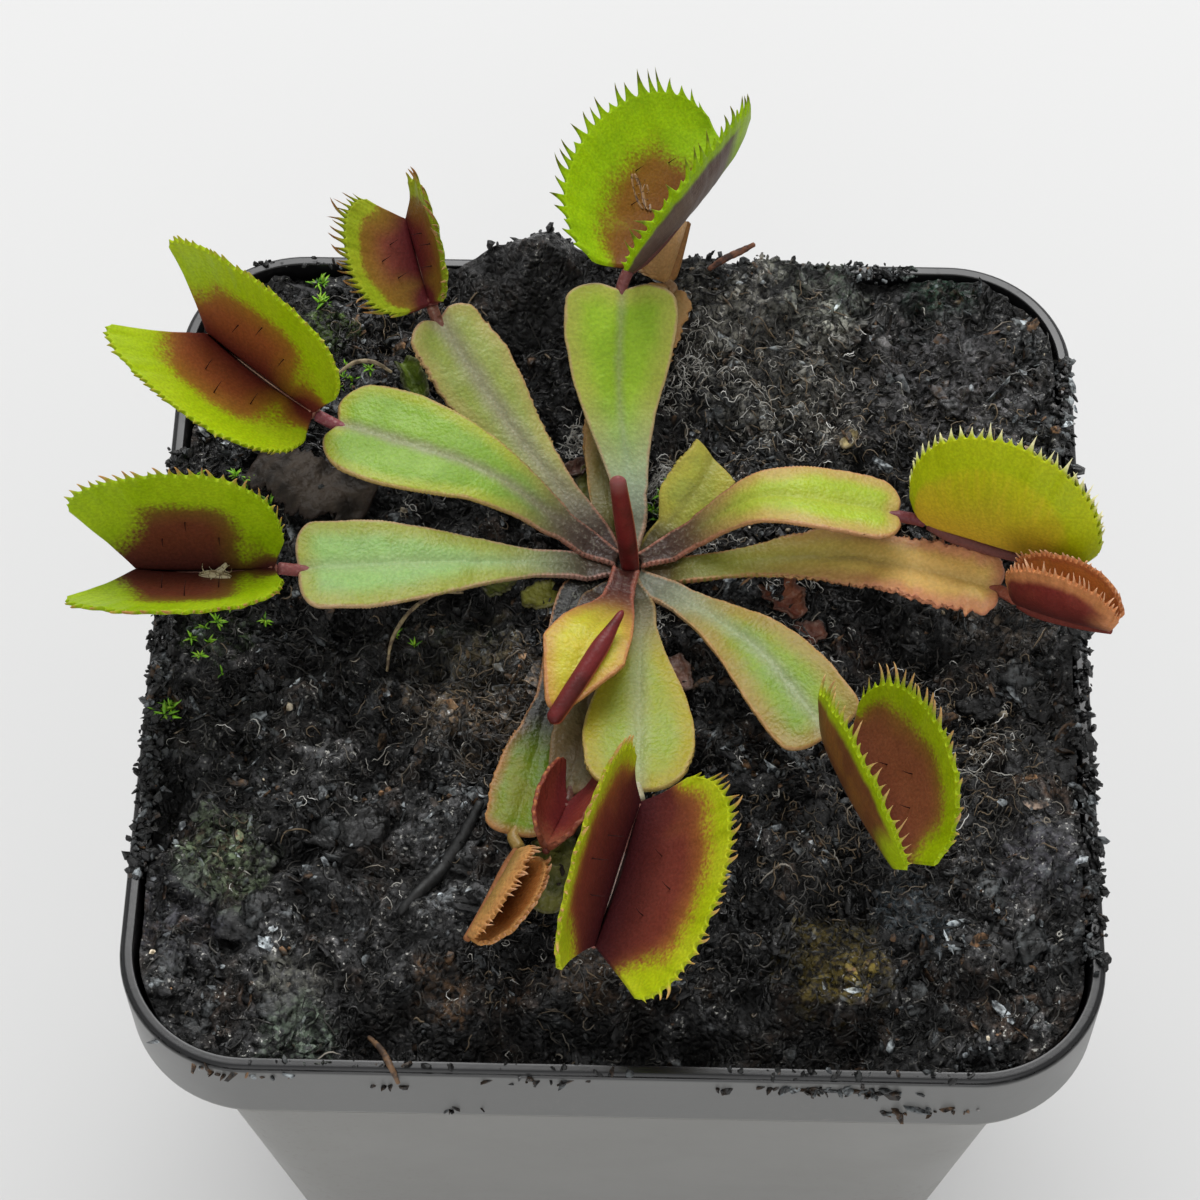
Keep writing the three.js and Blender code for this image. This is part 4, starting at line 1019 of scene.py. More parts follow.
def makeLeaf(name, seed):
    leaf = {**leafUsual, **leaves[name]}
    label = "".join(word.capitalize() for word in name.split("_")[1:])
    blade, stem, radii = stalkShells(leaf, seed * 3.7)
    stalkMaterial = makeStalkMaterial("stalk " + label, lookOf(name, stalkLooks, stalkTones, stalkUsual))
    if not leaf["trap"]:
        stemShell = tubeShell(stem[:-6], radii[:-6] * np.linspace(1, 0.4, len(stem) - 6), 12)
        buildPiece("stalk" + label, [blade, stemShell], stalkMaterial, [name])
        return
    trap = {**trapUsual, **leaf["trap"]}
    start, finish = np.array(trap["start"], float), np.array(trap["finish"], float)
    way = unit(finish - start)
    up = unit(np.array([0, 0, 1.0]) - way * way[2])
    low, high = [math.radians(a) for a in trap["lobes"]]
    between = up * math.cos((low + high) / 2) + np.cross(way, up) * math.sin((low + high) / 2)
    t = np.linspace(0, 1, 26)[:, None]
    fold = mix(start, finish, t) - np.array([0, 0, 1.0]) * 0.2 * np.linalg.norm(finish - start) * t * (1 - t)
    rib = fold - between * 0.34 * np.clip(t * 8, 0, 1)
    neck = smoothRoute([stem[-2], stem[-1], rib[0], rib[3]], 10)[10:-12]
    radii = np.concatenate([radii[:-1], np.full(len(neck), 0.46)])
    stemShell = tubeShell(np.vstack([stem[:-1], neck]), radii, 14)
    buildPiece("stalk" + label, [blade, stemShell], stalkMaterial, [name])
    shells = [tubeShell(rib, plant["ribRadius"] * np.clip(1.25 - t[:, 0] * 0.7, 0.3, 1.05), 14)]
    line = fold[1:19] + between * 0.02 + np.cross(way, between) * 0.05 * waver(t[1:19, 0] * 9, seed, 3)[:, None]
    shells.append(tubeShell(line, 0.15 * np.sin(np.pi * np.linspace(0.1, 0.97, len(line))) ** 0.5, 8, line=1.0))
    for k, (lean, depth, outward) in enumerate(zip(trap["lobes"], trap["depths"], (-1, 1))):
        full, thick, marks, surface, away = lobeGrid(trap, lean, depth, outward, seed + 50 * k)
        shells.append(sheetShell(full, thick, **marks))
        if depth > 5.5:
            for u, v in ((0.38, 0.36), (0.52, 0.5), (0.66, 0.36)):
                foot = surface(np.array([u]), np.array([v]))[0]
                shells.append(hairShell(foot - away * 0.1, -away, 1.2, 0.055))
    trapMaterial = makeTrapMaterial("trap " + label, lookOf(name, trapLooks, trapTones, trapLookUsual))
    buildPiece("trap" + label, shells, trapMaterial, [name])


for seed, name in enumerate(leaves, 1):
    makeLeaf(name, seed)
print("leaves made")


# young leaves and crown

young = {
    "folded": {"route": [(-4.6, -11.4, 87.95), (-2.1, -7.3, 88.85), (0.3, -3, 89.5)],
        "radius": 0.7, "taper": 0.6, "from": 0.62, "label": "folded young trap"},
    "rolled": {"route": [(0.8, 4.9, 81.7), (0.4, 5.6, 86), (-0.3, 7, 91.6)],
        "radius": 0.74, "taper": 0.15, "from": 0.5, "label": "rolled young leaf"},
    "red": "6a1f20", "dark": "4a1614", "edge": "984c38", "tip": "7e4644", "sides": 28, "rings": 70,
}

# the crown's outline: height, radius
crown = {
    "profile": [(75.3, 1.7), (75.8, 2.3), (77, 2.4), (79, 2.4), (80.2, 2.1), (80.8, 1.5), (81.1, 0.9), (81.2, 0.4)],
    "tones": ("33241c", "4c3a2a"),
}


def makeRodMaterial(name, tipTone):
    n = Finish(name, gloss=0.25, glow=0.1)
    height, grain, swell, _ = n.skin(2400.0)
    base = n.mix(n.ramp(swell, 0.35, 0.65), young["red"], young["dark"])
    base = n.mix(n.ramp(n.mark("seam"), 0.75, 0.95), base, young["edge"])
    base = n.mix(n.ramp(n.mark("along"), 0.84, 0.96), base, tipTone)
    return n.done(base, n.ramp(grain, 0.3, 0.7, 0.38, 0.5), height, 0.3, 0.0001)


def makeRod(name, kind, flat, across, power, tipTone, node):
    spec, sides = young[kind], young["sides"]
    t = np.linspace(0, 1, young["rings"])
    route, _ = alongRoute(smoothRoute(spec["route"]), t)
    radii = spec["radius"] * roundEdge(t + 0.004, 0.06) * roundEdge(1.004 - t, 0.06)
    radii = radii * (1 - spec["taper"] * smooth(spec["from"], 1, t)) * (0.85 + 0.15 * smooth(0, 0.35, t) ** power)
    shell = tubeShell(route, radii, sides, across, flat)
    turn = np.tile(np.linspace(0, 2 * np.pi, sides, endpoint=False), len(t))
    shell["marks"]["seam"] = np.concatenate([np.clip(abs(np.cos(turn)), 0, 1) ** 3, [0, 0]])
    buildPiece(name, [shell], makeRodMaterial(spec["label"], tipTone), [node])


def makeCrown():
    n = Finish("crown tissue", rough=0.6)
    height, _, swell, _ = n.skin(1400.0)
    material = n.done(n.mix(n.ramp(swell, 0.35, 0.65), *crown["tones"]), None, height, 0.5, 0.0002)
    heights, radii = np.array(crown["profile"]).T
    route = np.stack([heights * 0 + plant["crownAt"][0], heights * 0 + plant["crownAt"][1], heights], -1)
    buildPiece("crownStem", [tubeShell(route, radii, 28)], material, ["crown"])


makeRod("foldedTrap", "folded", 0.9, (1, -0.5, 0), 0.55, young["red"], "leaf_young_folded")
makeRod("rolledLeaf", "rolled", 0.8, (1, 0, 0), 0.35, young["tip"], "leaf_young_rolled")
makeCrown()
print("young leaves and crown made")


# dead leaves on the peat

litter = {
    "dead_leaf_left": {"from": (-28.5, 15.2), "to": (-19.5, 11), "wide": 5.4, "tone": "1b1611", "patch": "3a3128"},
    "dead_leaf_front": {"from": (-0.8, -13.6), "to": (-2.8, -21), "wide": 3.0, "tone": "2a2818", "patch": "443e24"},
}


def makeLitter(name, spec, seed):
    n = Finish(name.replace("_", " "), rough=0.6, gloss=0.25)
    height, _, swell, _ = n.skin(1500.0, 300.0)
    base = n.mix(n.ramp(swell, 0.4, 0.6), spec["tone"], spec["patch"])
    base = n.mix(n.band(n.mark("rim"), 0.1, 0.5, 0.3), base, "2a211b")
    material = n.done(base, None, height, 0.7, 0.0002)
    start, stop = np.array(spec["from"]), np.array(spec["to"])
    u, c = sheetGrid(90, 41)
    way = unit(stop - start)
    side = np.array([-way[1], way[0]])
    half = spec["wide"] / 2 * (0.45 + 0.55 * np.sin(np.pi * (0.15 + 0.7 * u)))
    right, left = [(waver(u * 7, seed + more, 4) * 0.3 * spec["wide"])[:, None] for more in (0.0, 9.0)]
    reach = half[:, None] * c + np.where(c < 0, right, left) * c * abs(c)
    flat = mix(start, stop, u[:, None])[:, None] + side * reach[..., None]
    x, y = np.moveaxis(flat, -1, 0)
    z = peatHeight(x, y) + 1.05 + 0.55 * levelNoise(x, y, 2.4, 3, seed)
    edge = np.minimum((1 - abs(c)) * half[:, None], np.minimum(u, 1 - u)[:, None] * 8)
    shell = sheetShell(np.stack([x, y, z], -1), 0.35 * roundEdge(edge, 0.2) + 0.02, rim=edge)
    buildPiece(name.replace("_l", "L").replace("_f", "F"), [shell], material, [name])


for seed, (name, spec) in enumerate(litter.items(), 3):
    makeLitter(name, spec, seed)
print("dead leaves made")


# crumbs, bark flakes and fibres on the peat

scatter = {
    # how many of each
    "crumbs": 5200, "flakes": 5200, "fibres": 3800, "grey": 2600, "pale": 1500, "seed": 11,
    # bigger clods: (x, y), spread, how many
    "clods": [((30, -6), 3, 12), ((26, -22), 4, 12), ((-28, -27), 4, 9), ((18, -14), 3, 6), ((-22, -15), 4, 6),
              ((28, 20), 4, 7), ((0, -28), 6, 6)],
    # heaps that lie over the rim: from, to, how wide, how many
    "heaps": [((34.3, -26), (34.3, 26), 0.75, 700), ((-11, 34.0), (23, 34.2), 0.6, 900),
              ((-34.0, -20), (-34.2, 16), 0.8, 900), ((-26, -34.3), (2, -34.4), 0.35, 46),
              ((8, -34.4), (26, -34.3), 0.4, 52), ((-30, 33.9), (-16, 34.1), 0.4, 40)],
    # bits stuck on the band in front: x, z, spread, how many
    "stuck": [(14, 78.6, 2.6, 44), (18, 78.2, 1.6, 20), (20.6, 74.8, 1.2, 16), (24, 75.4, 0.9, 8),
              (-15, 77.6, 0.7, 7), (-10.5, 73.5, 0.8, 5), (-26, 79.2, 2.0, 16), (-6, 79.1, 3, 14)],
    # where grey and tan roots lie thickest: (x, y), spread, share of them
    "tangles": [((13, 24), 7, 0.12), ((24, 16), 6, 0.1), ((25, -10), 6, 0.2), ((16, -16), 6, 0.1),
                ((-9, -6), 6, 0.14), ((10, 12), 5, 0.05), ((-18, 28), 6, 0.06), ((-2, -26), 8, 0.06)],
    # mats of white threads: (x, y), spread, share of them
    "mats": [((-3, 18.2), 1.2, 0.1), ((3.3, 13.6), 1.8, 0.14), ((5.6, 7.6), 1.3, 0.1), ((4, 24), 4.0, 0.2),
             ((2.3, 1.2), 1.0, 0.05), ((14, -4), 5.0, 0.1), ((26, -8), 4.5, 0.06), ((-21, -13), 10.0, 0.03),
             ((12, 6), 2.5, 0.06), ((-16, 8), 4.0, 0.03), ((-5, -25), 6.0, 0.02), ((14, 21), 5.0, 0.1)],
    # tones of crumbs and flakes: each starts between two numbers, with a dark and a light; the pale blue-grey one is
    # partly grey crust and partly painted highlight on wet flakes
    "crumbTones": [(0.45, 0.5, "161717", "4c4f50"), (0.72, 0.76, "383c40", "a6adb0"),
                   (0.85, 0.87, "241a13", "6a5038"), (0.98, 0.985, "8a7c64", "d4c8b0")],
    # tones of fibres
    "fibreTones": [(0.1, 0.6, "4c4a46"), (0.66, 0.78, "7a6a54"), (0.84, 0.9, "b4b2aa"), (0.94, 1.0, "f4f3ee")],
}


def insidePot(x, y, margin=0.0):
    half, corner = peat["half"] - margin, peat["corner"] - margin
    qx, qy = np.maximum(abs(x) - (half - corner), 0), np.maximum(abs(y) - (half - corner), 0)
    return np.hypot(qx, qy) < corner


def spotsOnPeat(draw, count, margin=0.4, clumped=False):
    spots = draw.uniform(-peat["half"], peat["half"], (count * 3, 2))
    keep = insidePot(spots[:, 0], spots[:, 1], margin)
    if clumped:
        crowd = levelNoise(*spots.T, 3.4, 3, 5.5)
        keep &= crowd + draw.uniform(-0.35, 0.35, len(spots)) > -0.08
    for at, radius, share in peat["bare"]:
        keep &= (np.hypot(spots[:, 0] - at[0], spots[:, 1] - at[1]) > radius) | (draw.random(len(spots)) > share)
    return spots[keep][:count]


def chunkTemplate(subdivisions):
    ball = bmesh.new()
    bmesh.ops.create_icosphere(ball, subdivisions=subdivisions, radius=1)
    points = np.array([v.co[:] for v in ball.verts])
    faces = np.array([[v.index for v in f.verts] for f in ball.faces])
    ball.free()
    return points, faces


def randomTurns(draw, count):
    w, x, y, z = unit(draw.normal(size=(count, 4))).T
    return np.stack([np.stack([1 - 2 * (y * y + z * z), 2 * (x * y - z * w), 2 * (x * z + y * w)], -1),
                     np.stack([2 * (x * y + z * w), 1 - 2 * (x * x + z * z), 2 * (y * z - x * w)], -1),
                     np.stack([2 * (x * z - y * w), 2 * (y * z + x * w), 1 - 2 * (x * x + y * y)], -1)], -2)


def chunkShell(draw, spots, heights, sizes, rough, stretch, **marks):
    template, faces = chunkTemplate(1)
    count = len(spots)
    bumps = 1 + rough * draw.normal(size=(count, len(template)))
    shape = np.array(stretch) * draw.uniform(0.6, 1.3, (count, 3))
    shaped = template[None] * bumps[..., None] * shape[:, None] * sizes[:, None, None]
    turned = np.einsum("nij,nkj->nki", randomTurns(draw, count), shaped)
    return copiesShell(turned, [faces], np.column_stack([spots, heights]), **marks)


def clodShell(draw, spots, sizes, tones):
    # bigger lumps with a crumpled surface, half sunk in the peat
    template, faces = chunkTemplate(4)
    shift = draw.uniform(0, 60, (len(spots), 1, 3))
    around = (template[None] * 1.3 + shift).reshape(-1, 3)
    lumps = (0.4 * noiseOver(around, 1.0, 4) + 0.12 * ridgesOver(around, 0.7)).reshape(len(spots), -1, 1)
    shape = np.array([1.1, 1.1, 0.65]) * draw.uniform(0.7, 1.3, (len(spots), 1, 3))
    points = template[None] * (1 + lumps) * shape * sizes[:, None, None]
    places = np.column_stack([spots, peatTop(*spots.T) - 0.3 * sizes])
    return copiesShell(points, [faces], places, tone=tones, relief=draw.uniform(-0.4, 0.3, len(spots)))


def makeCrumbMaterial(name):
    n = Finish(name, gloss=0.45)
    tone, fine = n.mark("tone"), n.noise(2200.0, 5.0)
    grain = n.ramp(fine, 0.38, 0.64)
    base = n.mix(grain, "060606", "242425")
    for low, high, dark, light in scatter["crumbTones"]:
        base = n.mix(n.ramp(tone, low, high), base, n.mix(grain, dark, light))
    return n.done(dampedAndShaded(n, base), n.ramp(fine, 0.3, 0.7, 0.2, 0.65), fine, 0.8, 0.0003)


def makeFibreMaterial():
    n = Finish("root fibres", rough=0.38, gloss=0.5)
    tone, base = n.mark("tone"), "080707"
    for low, high, shade in scatter["fibreTones"]:
        base = n.mix(n.ramp(tone, low, high), base, shade)
    return n.done(n.mix(n.times(n.noise(900.0, 3.0), 0.2), base, "1c1917"))


def fibreShell(draw, starts, lengths, radii, tones, lift, wander):
    # thin curled roots that lie on the peat
    count, steps, sides = len(starts), 9, 3
    heading = draw.uniform(0, 2 * np.pi, count)
    curl = draw.normal(size=(count, 1)) * 0.35
    angles = heading[:, None] + np.cumsum(draw.normal(size=(count, steps)) * wander * 0.7 + curl, 1)
    stepLength = lengths[:, None] / steps
    edge = peat["half"] - 0.4
    x = np.clip(starts[:, :1] + np.cumsum(np.cos(angles) * stepLength, 1), -edge, edge)
    y = np.clip(starts[:, 1:] + np.cumsum(np.sin(angles) * stepLength, 1), -edge, edge)
    z = peatTop(x.ravel(), y.ravel()).reshape(x.shape)
    z = z + draw.uniform(-0.05, lift, (count, 1)) + 0.14 * draw.normal(size=x.shape)
    inner = (z[:, :-2] + z[:, 1:-1] + z[:, 2:]) / 3
    z = np.concatenate([inner[:, :1] - 0.2, inner, inner[:, -1:] - 0.2], 1)
    route = np.stack([x, y, z], -1)
    way = unit(np.gradient(route, axis=1))
    side = unit(np.cross(way, [0, 0, 1.0]))
    up = np.cross(side, way)
    thin = radii[:, None] * np.sin(np.pi * np.linspace(0.12, 0.88, steps))[None]
    turns = [2 * np.pi * k / sides for k in range(sides)]
    rings = [route + (math.cos(turn) * side + math.sin(turn) * up) * thin[..., None] for turn in turns]
    points = np.stack(rings, 2).reshape(count, steps * sides, 3)
    quads = []
    for s in range(steps - 1):
        for k in range(sides):
            n = (k + 1) % sides
            quads.append((s * sides + k, (s + 1) * sides + k, (s + 1) * sides + n, s * sides + n))
    caps = np.array([(0, 1, 2), (steps * sides - 1, steps * sides - 2, steps * sides - 3)])
    return copiesShell(points, [np.array(quads), caps], np.zeros((count, 3)), tone=tones)


def gathered(draw, places, count):
    # starts in loose crowds: each place is (x, y), spread, share
    starts = [np.array(at) + draw.normal(size=(int(count * share), 2)) * spread * 0.6 for at, spread, share in places]
    starts = np.vstack(starts)
    return starts[insidePot(*starts.T, 1.0)]


def makeCrumbs(draw):
    spots = spotsOnPeat(draw, scatter["crumbs"], clumped=True)
    sizes = draw.uniform(0.1, 0.36, len(spots)) * draw.uniform(0.5, 1.3, len(spots))
    heights = peatTop(*spots.T) + sizes * draw.uniform(-0.2, 0.7, len(spots))
    # their height over the peat is their relief mark, which sets their painted shade and highlight
    crumbs = chunkShell(draw, spots, heights, sizes, 0.24, (1.2, 0.9, 0.8), tone=draw.random(len(spots)),
                        relief=heights - peatHeight(*spots.T))
    spots = np.vstack([np.array(at) + draw.normal(size=(count, 2)) * spread for at, spread, count in scatter["clods"]])
    spots = spots[insidePot(*spots.T, 1.2)]
    sizes = draw.uniform(0.7, 1.7, len(spots))
    clods = clodShell(draw, spots, sizes, draw.uniform(0.2, 0.62, len(spots)))
    shells = [crumbs]
    for start, stop, wide, count in scatter["heaps"]:
        t = draw.random((count, 1))
        at = mix(np.array(start), np.array(stop), t) + draw.normal(size=(count, 2)) * wide * 0.6
        at = np.clip(at, -35.1, 35.1)
        big = draw.uniform(0.14, 0.62, count) * draw.uniform(0.6, 1.1, count) * (0.6 if wide < 0.7 else 0.85)
        held = np.maximum(np.where(insidePot(*at.T, -0.2), peatTop(*at.T), 0), 79.9)
        shells.append(chunkShell(draw, at, held + big * draw.uniform(0.0, 0.6, count), big, 0.22, (1.3, 0.9, 0.6),
                                 tone=draw.random(count) * 0.9, relief=draw.uniform(-0.7, 0.5, count)))
    for x, z, spread, count in scatter["stuck"]:
        across = np.clip(x + draw.normal(size=count) * spread, -33, 33)
        turned = np.maximum(abs(across) - (pot["rimHalf"] - pot["rimCorner"]), 0)
        back = pot["rimCorner"] - np.sqrt(pot["rimCorner"] ** 2 - turned**2)
        at = np.column_stack([across, back - pot["rimHalf"] - 0.05])
        shells.append(chunkShell(draw, at, z + draw.normal(size=count) * 0.25, draw.uniform(0.1, 0.42, count), 0.25,
                                 (1.8, 0.6, 0.6), tone=draw.uniform(0.8, 0.97, count), relief=np.full(count, -0.05)))
    buildPiece("peatCrumbs", shells, makeCrumbMaterial("peat crumbs"), sharp=True)
    buildPiece("peatClods", [clods], makeCrumbMaterial("peat clods"))


def makeFlakes(draw):
    spots = spotsOnPeat(draw, scatter["flakes"], 0.8, clumped=True)
    sizes = draw.uniform(0.2, 0.8, len(spots)) * draw.uniform(0.5, 1.1, len(spots))
    heights = peatTop(*spots.T) + sizes * draw.uniform(-0.2, 0.3, len(spots))
    # their height over the peat is their relief mark, which sets their painted shade and highlight
    flakes = chunkShell(draw, spots, heights, sizes, 0.3, (1.5, 0.6, 0.2), tone=draw.random(len(spots)) * 0.99,
                        relief=heights - peatHeight(*spots.T))
    buildPiece("barkFlakes", [flakes], makeCrumbMaterial("bark flakes"), sharp=True)


def makeFibres(draw):
    material = makeFibreMaterial()
    starts = spotsOnPeat(draw, scatter["fibres"], 1.0)
    count = len(starts)
    tones = np.where(draw.random(count) < 0.94, draw.random(count) * 0.6, draw.uniform(0.64, 0.92, count))
    shell = fibreShell(draw, starts, draw.uniform(0.7, 3.2, count), draw.uniform(0.03, 0.1, count), tones, 0.3, 0.55)
    buildPiece("rootFibres", [shell], material)
    for name, places, count, long, thick, tone, lift, wander in (
            ("greyRoots", "tangles", "grey", 2.8, (0.03, 0.08), (0.45, 0.88), 0.5, 0.8),
            ("paleThreads", "mats", "pale", 2.2, (0.022, 0.06), (0.86, 1.0), 0.7, 1.0)):
        starts = gathered(draw, scatter[places], scatter[count])
        lengths, radii, tones = [draw.uniform(*ends, len(starts)) for ends in ((0.7, long), thick, tone)]
        buildPiece(name, [fibreShell(draw, starts, lengths, radii, tones, lift, wander)], material)


draw = np.random.default_rng(scatter["seed"])
makeCrumbs(draw)
makeFlakes(draw)
makeFibres(draw)
print("crumbs and fibres made")


# moss

moss = {
    # (x, y), spread, how many sprigs, how long their leaves are
    "tufts": [((-33, -6.7), 0.7, 4, 1.0), ((3.2, 11.0), 1.5, 9, 0.85), ((-30.9, 13), 2.2, 10, 0.8),
              ((-24.8, 31), 1.2, 5, 0.8), ((-29.5, 0.2), 2.6, 8, 0.7), ((-16.2, 0.2), 1.0, 3, 0.6),
              ((-5.4, 6.6), 0.4, 2, 0.8), ((-22, 24), 2.0, 6, 0.7), ((-26.5, 12.5), 1.5, 4, 0.8)],
    "bright": "86c81e", "dark": "3c7414", "lime": "b4d83a",
}


def makeMoss():
    n = Finish("moss", rough=0.5, glow=0.1, glowDepth=0.0005)
    base = n.mix(n.mark("tone"), moss["dark"], moss["bright"])
    base = n.mix(n.ramp(n.noise(1500.0, 2.0), 0.45, 0.7, 0.0, 0.5), base, moss["lime"])
    material = n.done(base)
    draw = np.random.default_rng(5)
    template = []
    for at, wide in ((0, 0.05), (0.3, 0.14), (0.65, 0.11), (1.0, 0.012)):
        bend = -0.35 * at * at
        template += [(at, wide, bend + 0.03 * wide), (at, 0, bend + 0.025), (at, -wide, bend + 0.03 * wide),
                     (at, 0, bend - 0.02)]
    quads = np.array([(4 * s + k, 4 * s + (k + 1) % 4, 4 * s + 4 + (k + 1) % 4, 4 * s + 4 + k)
                      for s in range(3) for k in range(4)])[:, ::-1]
    caps = np.array([(0, 1, 2, 3), (15, 14, 13, 12)])
    moves, places, tones = [], [], []
    for centre, spread, count, long in moss["tufts"]:
        for _ in range(count):
            x, y = np.array(centre) + draw.normal(size=2) * spread * 0.6
            foot = np.array([x, y, float(peatTop(np.array([x]), np.array([y]))[0]) - 0.1])
            lean = draw.normal(size=2) * 0.25
            for k in range(draw.integers(6, 13)):
                spin = 2.4 * k + draw.uniform(-0.4, 0.4)
                rise = draw.uniform(0.2, 1.3)
                size = long * draw.uniform(0.6, 1.3)
                way = unit(np.array([math.cos(spin) * math.cos(rise) + lean[0],
                                     math.sin(spin) * math.cos(rise) + lean[1], math.sin(rise)]))
                side = unit(np.cross([0, 0, 1.0], way))
                moves.append(np.stack([way, side, np.cross(way, side)], -1) * size)
                places.append(foot + [0, 0, 0.06 * k * long])
                tones.append(draw.random())
    points = np.einsum("nij,kj->nki", np.array(moves), np.array(template))
    shell = copiesShell(points, [quads, caps], np.array(places), tone=np.array(tones))
    buildPiece("mossSprigs", [shell], material)


makeMoss()
print("moss made")


# leaf scraps, twigs and insect remains

scraps = {
    # (x, y), direction, length, width, curl, lift, colours
    "redScrap": ((11.9, 4.2), -58, 6.0, 2.6, 0.7, 0.7, "6b3422", "8a5238"),
    "redChip": ((13.8, 0.4), 20, 3.4, 2.0, 0.5, 0.5, "5a2e20", "7a4630"),
    "oliveScrap": ((-5.6, 3.0), 8, 3.6, 2.3, 0.3, 0.6, "6a6a1c", "8a8a34"),
    "oliveChip": ((-9.0, 3.7), 40, 2.6, 1.8, 0.3, 0.5, "3e4a14", "5c6420"),
    "brownCurl": ((-3.3, 14.2), 35, 3.2, 1.4, 0.9, 1.3, "4a3028", "6b4a3e"),
    "oliveStub": ((-2.6, 12.6), 82, 4.4, 1.9, 0.4, 1.0, "5c5e20", "74742c"),
    "greenCurl": ((-16.6, 22.9), 118, 3.8, 2.0, 1.3, 1.6, "44580e", "62761a"),
    "frontScrap": ((-4.4, -19.4), 80, 6.6, 3.4, 0.5, 1.0, "4e5218", "6a6a2a"),
    "frontChip": ((4.6, -3.2), -70, 3.0, 1.6, 0.5, 0.6, "4a2e22", "6a4636"),
    "tanChip": ((17.4, 18.0), 60, 2.0, 0.9, 0.8, 0.6, "8a7a4a", "b0a070"),
}


def scrapShell(at, direction, long, wide, curl, lift, seed):
    turn = math.radians(direction)
    way, side = np.array([math.cos(turn), math.sin(turn)]), np.array([-math.sin(turn), math.cos(turn)])
    u, c = sheetGrid(56, 27)
    half = (wide / 2 * np.sin(np.pi * (0.1 + 0.8 * u)) ** 0.6)[:, None]
    right, left = waver(u * 6, seed, 4)[:, None], waver(u * 6, seed + 5.0, 4)[:, None]
    reach = half * c * (1 + 0.35 * np.where(c < 0, right, left))
    flat = np.array(at) + way * ((u - 0.5) * long)[:, None, None] + side * reach[..., None]
    x, y = np.moveaxis(flat, -1, 0)
    z = peatHeight(*at) + lift + curl * (c**2 - 0.4) * half + 0.3 * curl * np.sin(5 * u + seed)[:, None]
    z = z + 0.22 * levelNoise(x, y, 1.3, 3, seed)
    edge = np.minimum((1 - abs(c)) * half, (np.minimum(u, 1 - u) * long)[:, None])
    return sheetShell(np.stack([x, y, z], -1), 0.24 * roundEdge(edge, 0.15) + 0.02, rim=edge)


def makeScrapMaterial(name, dark, light):
    n = Finish(name, rough=0.55)
    height, _, swell, glints = n.skin(1600.0, 500.0)
    base = n.mix(n.ramp(swell, 0.4, 0.6), dark, light)
    base = n.mix(n.times(n.band(n.mark("rim"), 0.02, 0.3, 0.2), 0.6), base, "2a1d15")
    base = n.mix(n.times(glints, 0.12), base, "c8c0b0")
    return n.done(base, None, height, 0.7, 0.0002)


def makeScraps():
    for seed, (name, (*shape, dark, light)) in enumerate(scraps.items(), 2):
        buildPiece(name, [scrapShell(*shape, seed * 1.3)], makeScrapMaterial(name, dark, light))


twigs = {
    # a place given without its height lies on the peat
    "backTwig": {"route": [(6.4, 32.4, 82.4), (7.8, 33.1, 83.0), (9.0, 33.6, 83.3), (10.0, 33.9, 83.8)],
        "radius": 0.3, "dark": "3a2018", "light": "7a4c34"},
    "tanTwig": {"route": [(-22.6, 22.9, 80.6), (-21.0, 23.6, 81.5), (-19.6, 23.7, 81.4), (-18.2, 23.2, 80.8)],
        "radius": 0.18, "dark": "6e6048", "light": "a89878"},
    "curvedRoot": {"route": [(-17.2, -3.0, 79.9), (-16.9, -0.8, 80.7), (-15.6, 1.6, 81.0), (-13.6, 3.2, 80.9),
                             (-11.8, 3.6, 80.4)],
        "radius": 0.16, "dark": "5a4a38", "light": "9a8a68"},
    "darkStick": {"route": [(-15.3, -22.4), (-14.0, -20.9), (-12.5, -18.7), (-11.0, -16.2), (-9.8, -13.9)],
        "radius": 0.5, "dark": "060606", "light": "1b1c1c"},
    "frontSplinter": {"route": [(-17.0, -31.6, 78.3), (-16.0, -33.0, 79.4), (-15.2, -34.6, 80.3),
                                (-14.7, -35.3, 79.0)],
        "radius": 0.24, "dark": "3a2a1e", "light": "6e5238"},
}


def makeTwigs():
    t = np.linspace(0, 1, 40)
    for name, twig in twigs.items():
        n = Finish(name, rough=0.6)
        grain = n.noise(1400.0, 4.0)
        material = n.done(n.mix(n.ramp(grain, 0.4, 0.6), twig["dark"], twig["light"]), None, grain, 0.6, 0.0002)
        places = [p if len(p) == 3 else (*p, float(peatTop([p[0]], [p[1]])[0]) + 0.2) for p in twig["route"]]
        route, _ = alongRoute(smoothRoute(places), t)
        radii = twig["radius"] * np.sin(np.pi * (0.12 + 0.76 * t)) ** 0.5 * (1 + 0.2 * waver(t * 12, 3.3, 3))
        buildPiece(name, [tubeShell(route, radii, 10)], material)


insects = {
    # wings and legs caught in the back trap, and a crushed fly on the left lower one:
    # foot, way and length, side, width
    "wings": [((1.3, 32.0, 90.6), (-0.9, 2.6, 1.1), (0.9, 0.3, -0.3), 1.1),
              ((1.7, 31.9, 90.5), (-0.3, 2.2, 0.5), (0.9, 0.1, -0.4), 1.0)],
    "fly": [((-32.6, -0.5, 88.0), (2.6, 0.5, 0.1), (0.3, -0.9, 0.4), 0.7),
            ((-30.6, 0.2, 88.1), (2.4, -0.3, 0.2), (0.2, 0.9, 0.4), 0.8),
            ((-30.0, -0.1, 88.3), (1.4, 1.0, 0.3), (0.6, -0.6, 0.4), 0.5)],
}
insectTones = {"wings": ("4e3420", "8e6a44"), "fly": ("7a6a4e", "b8ac8c")}


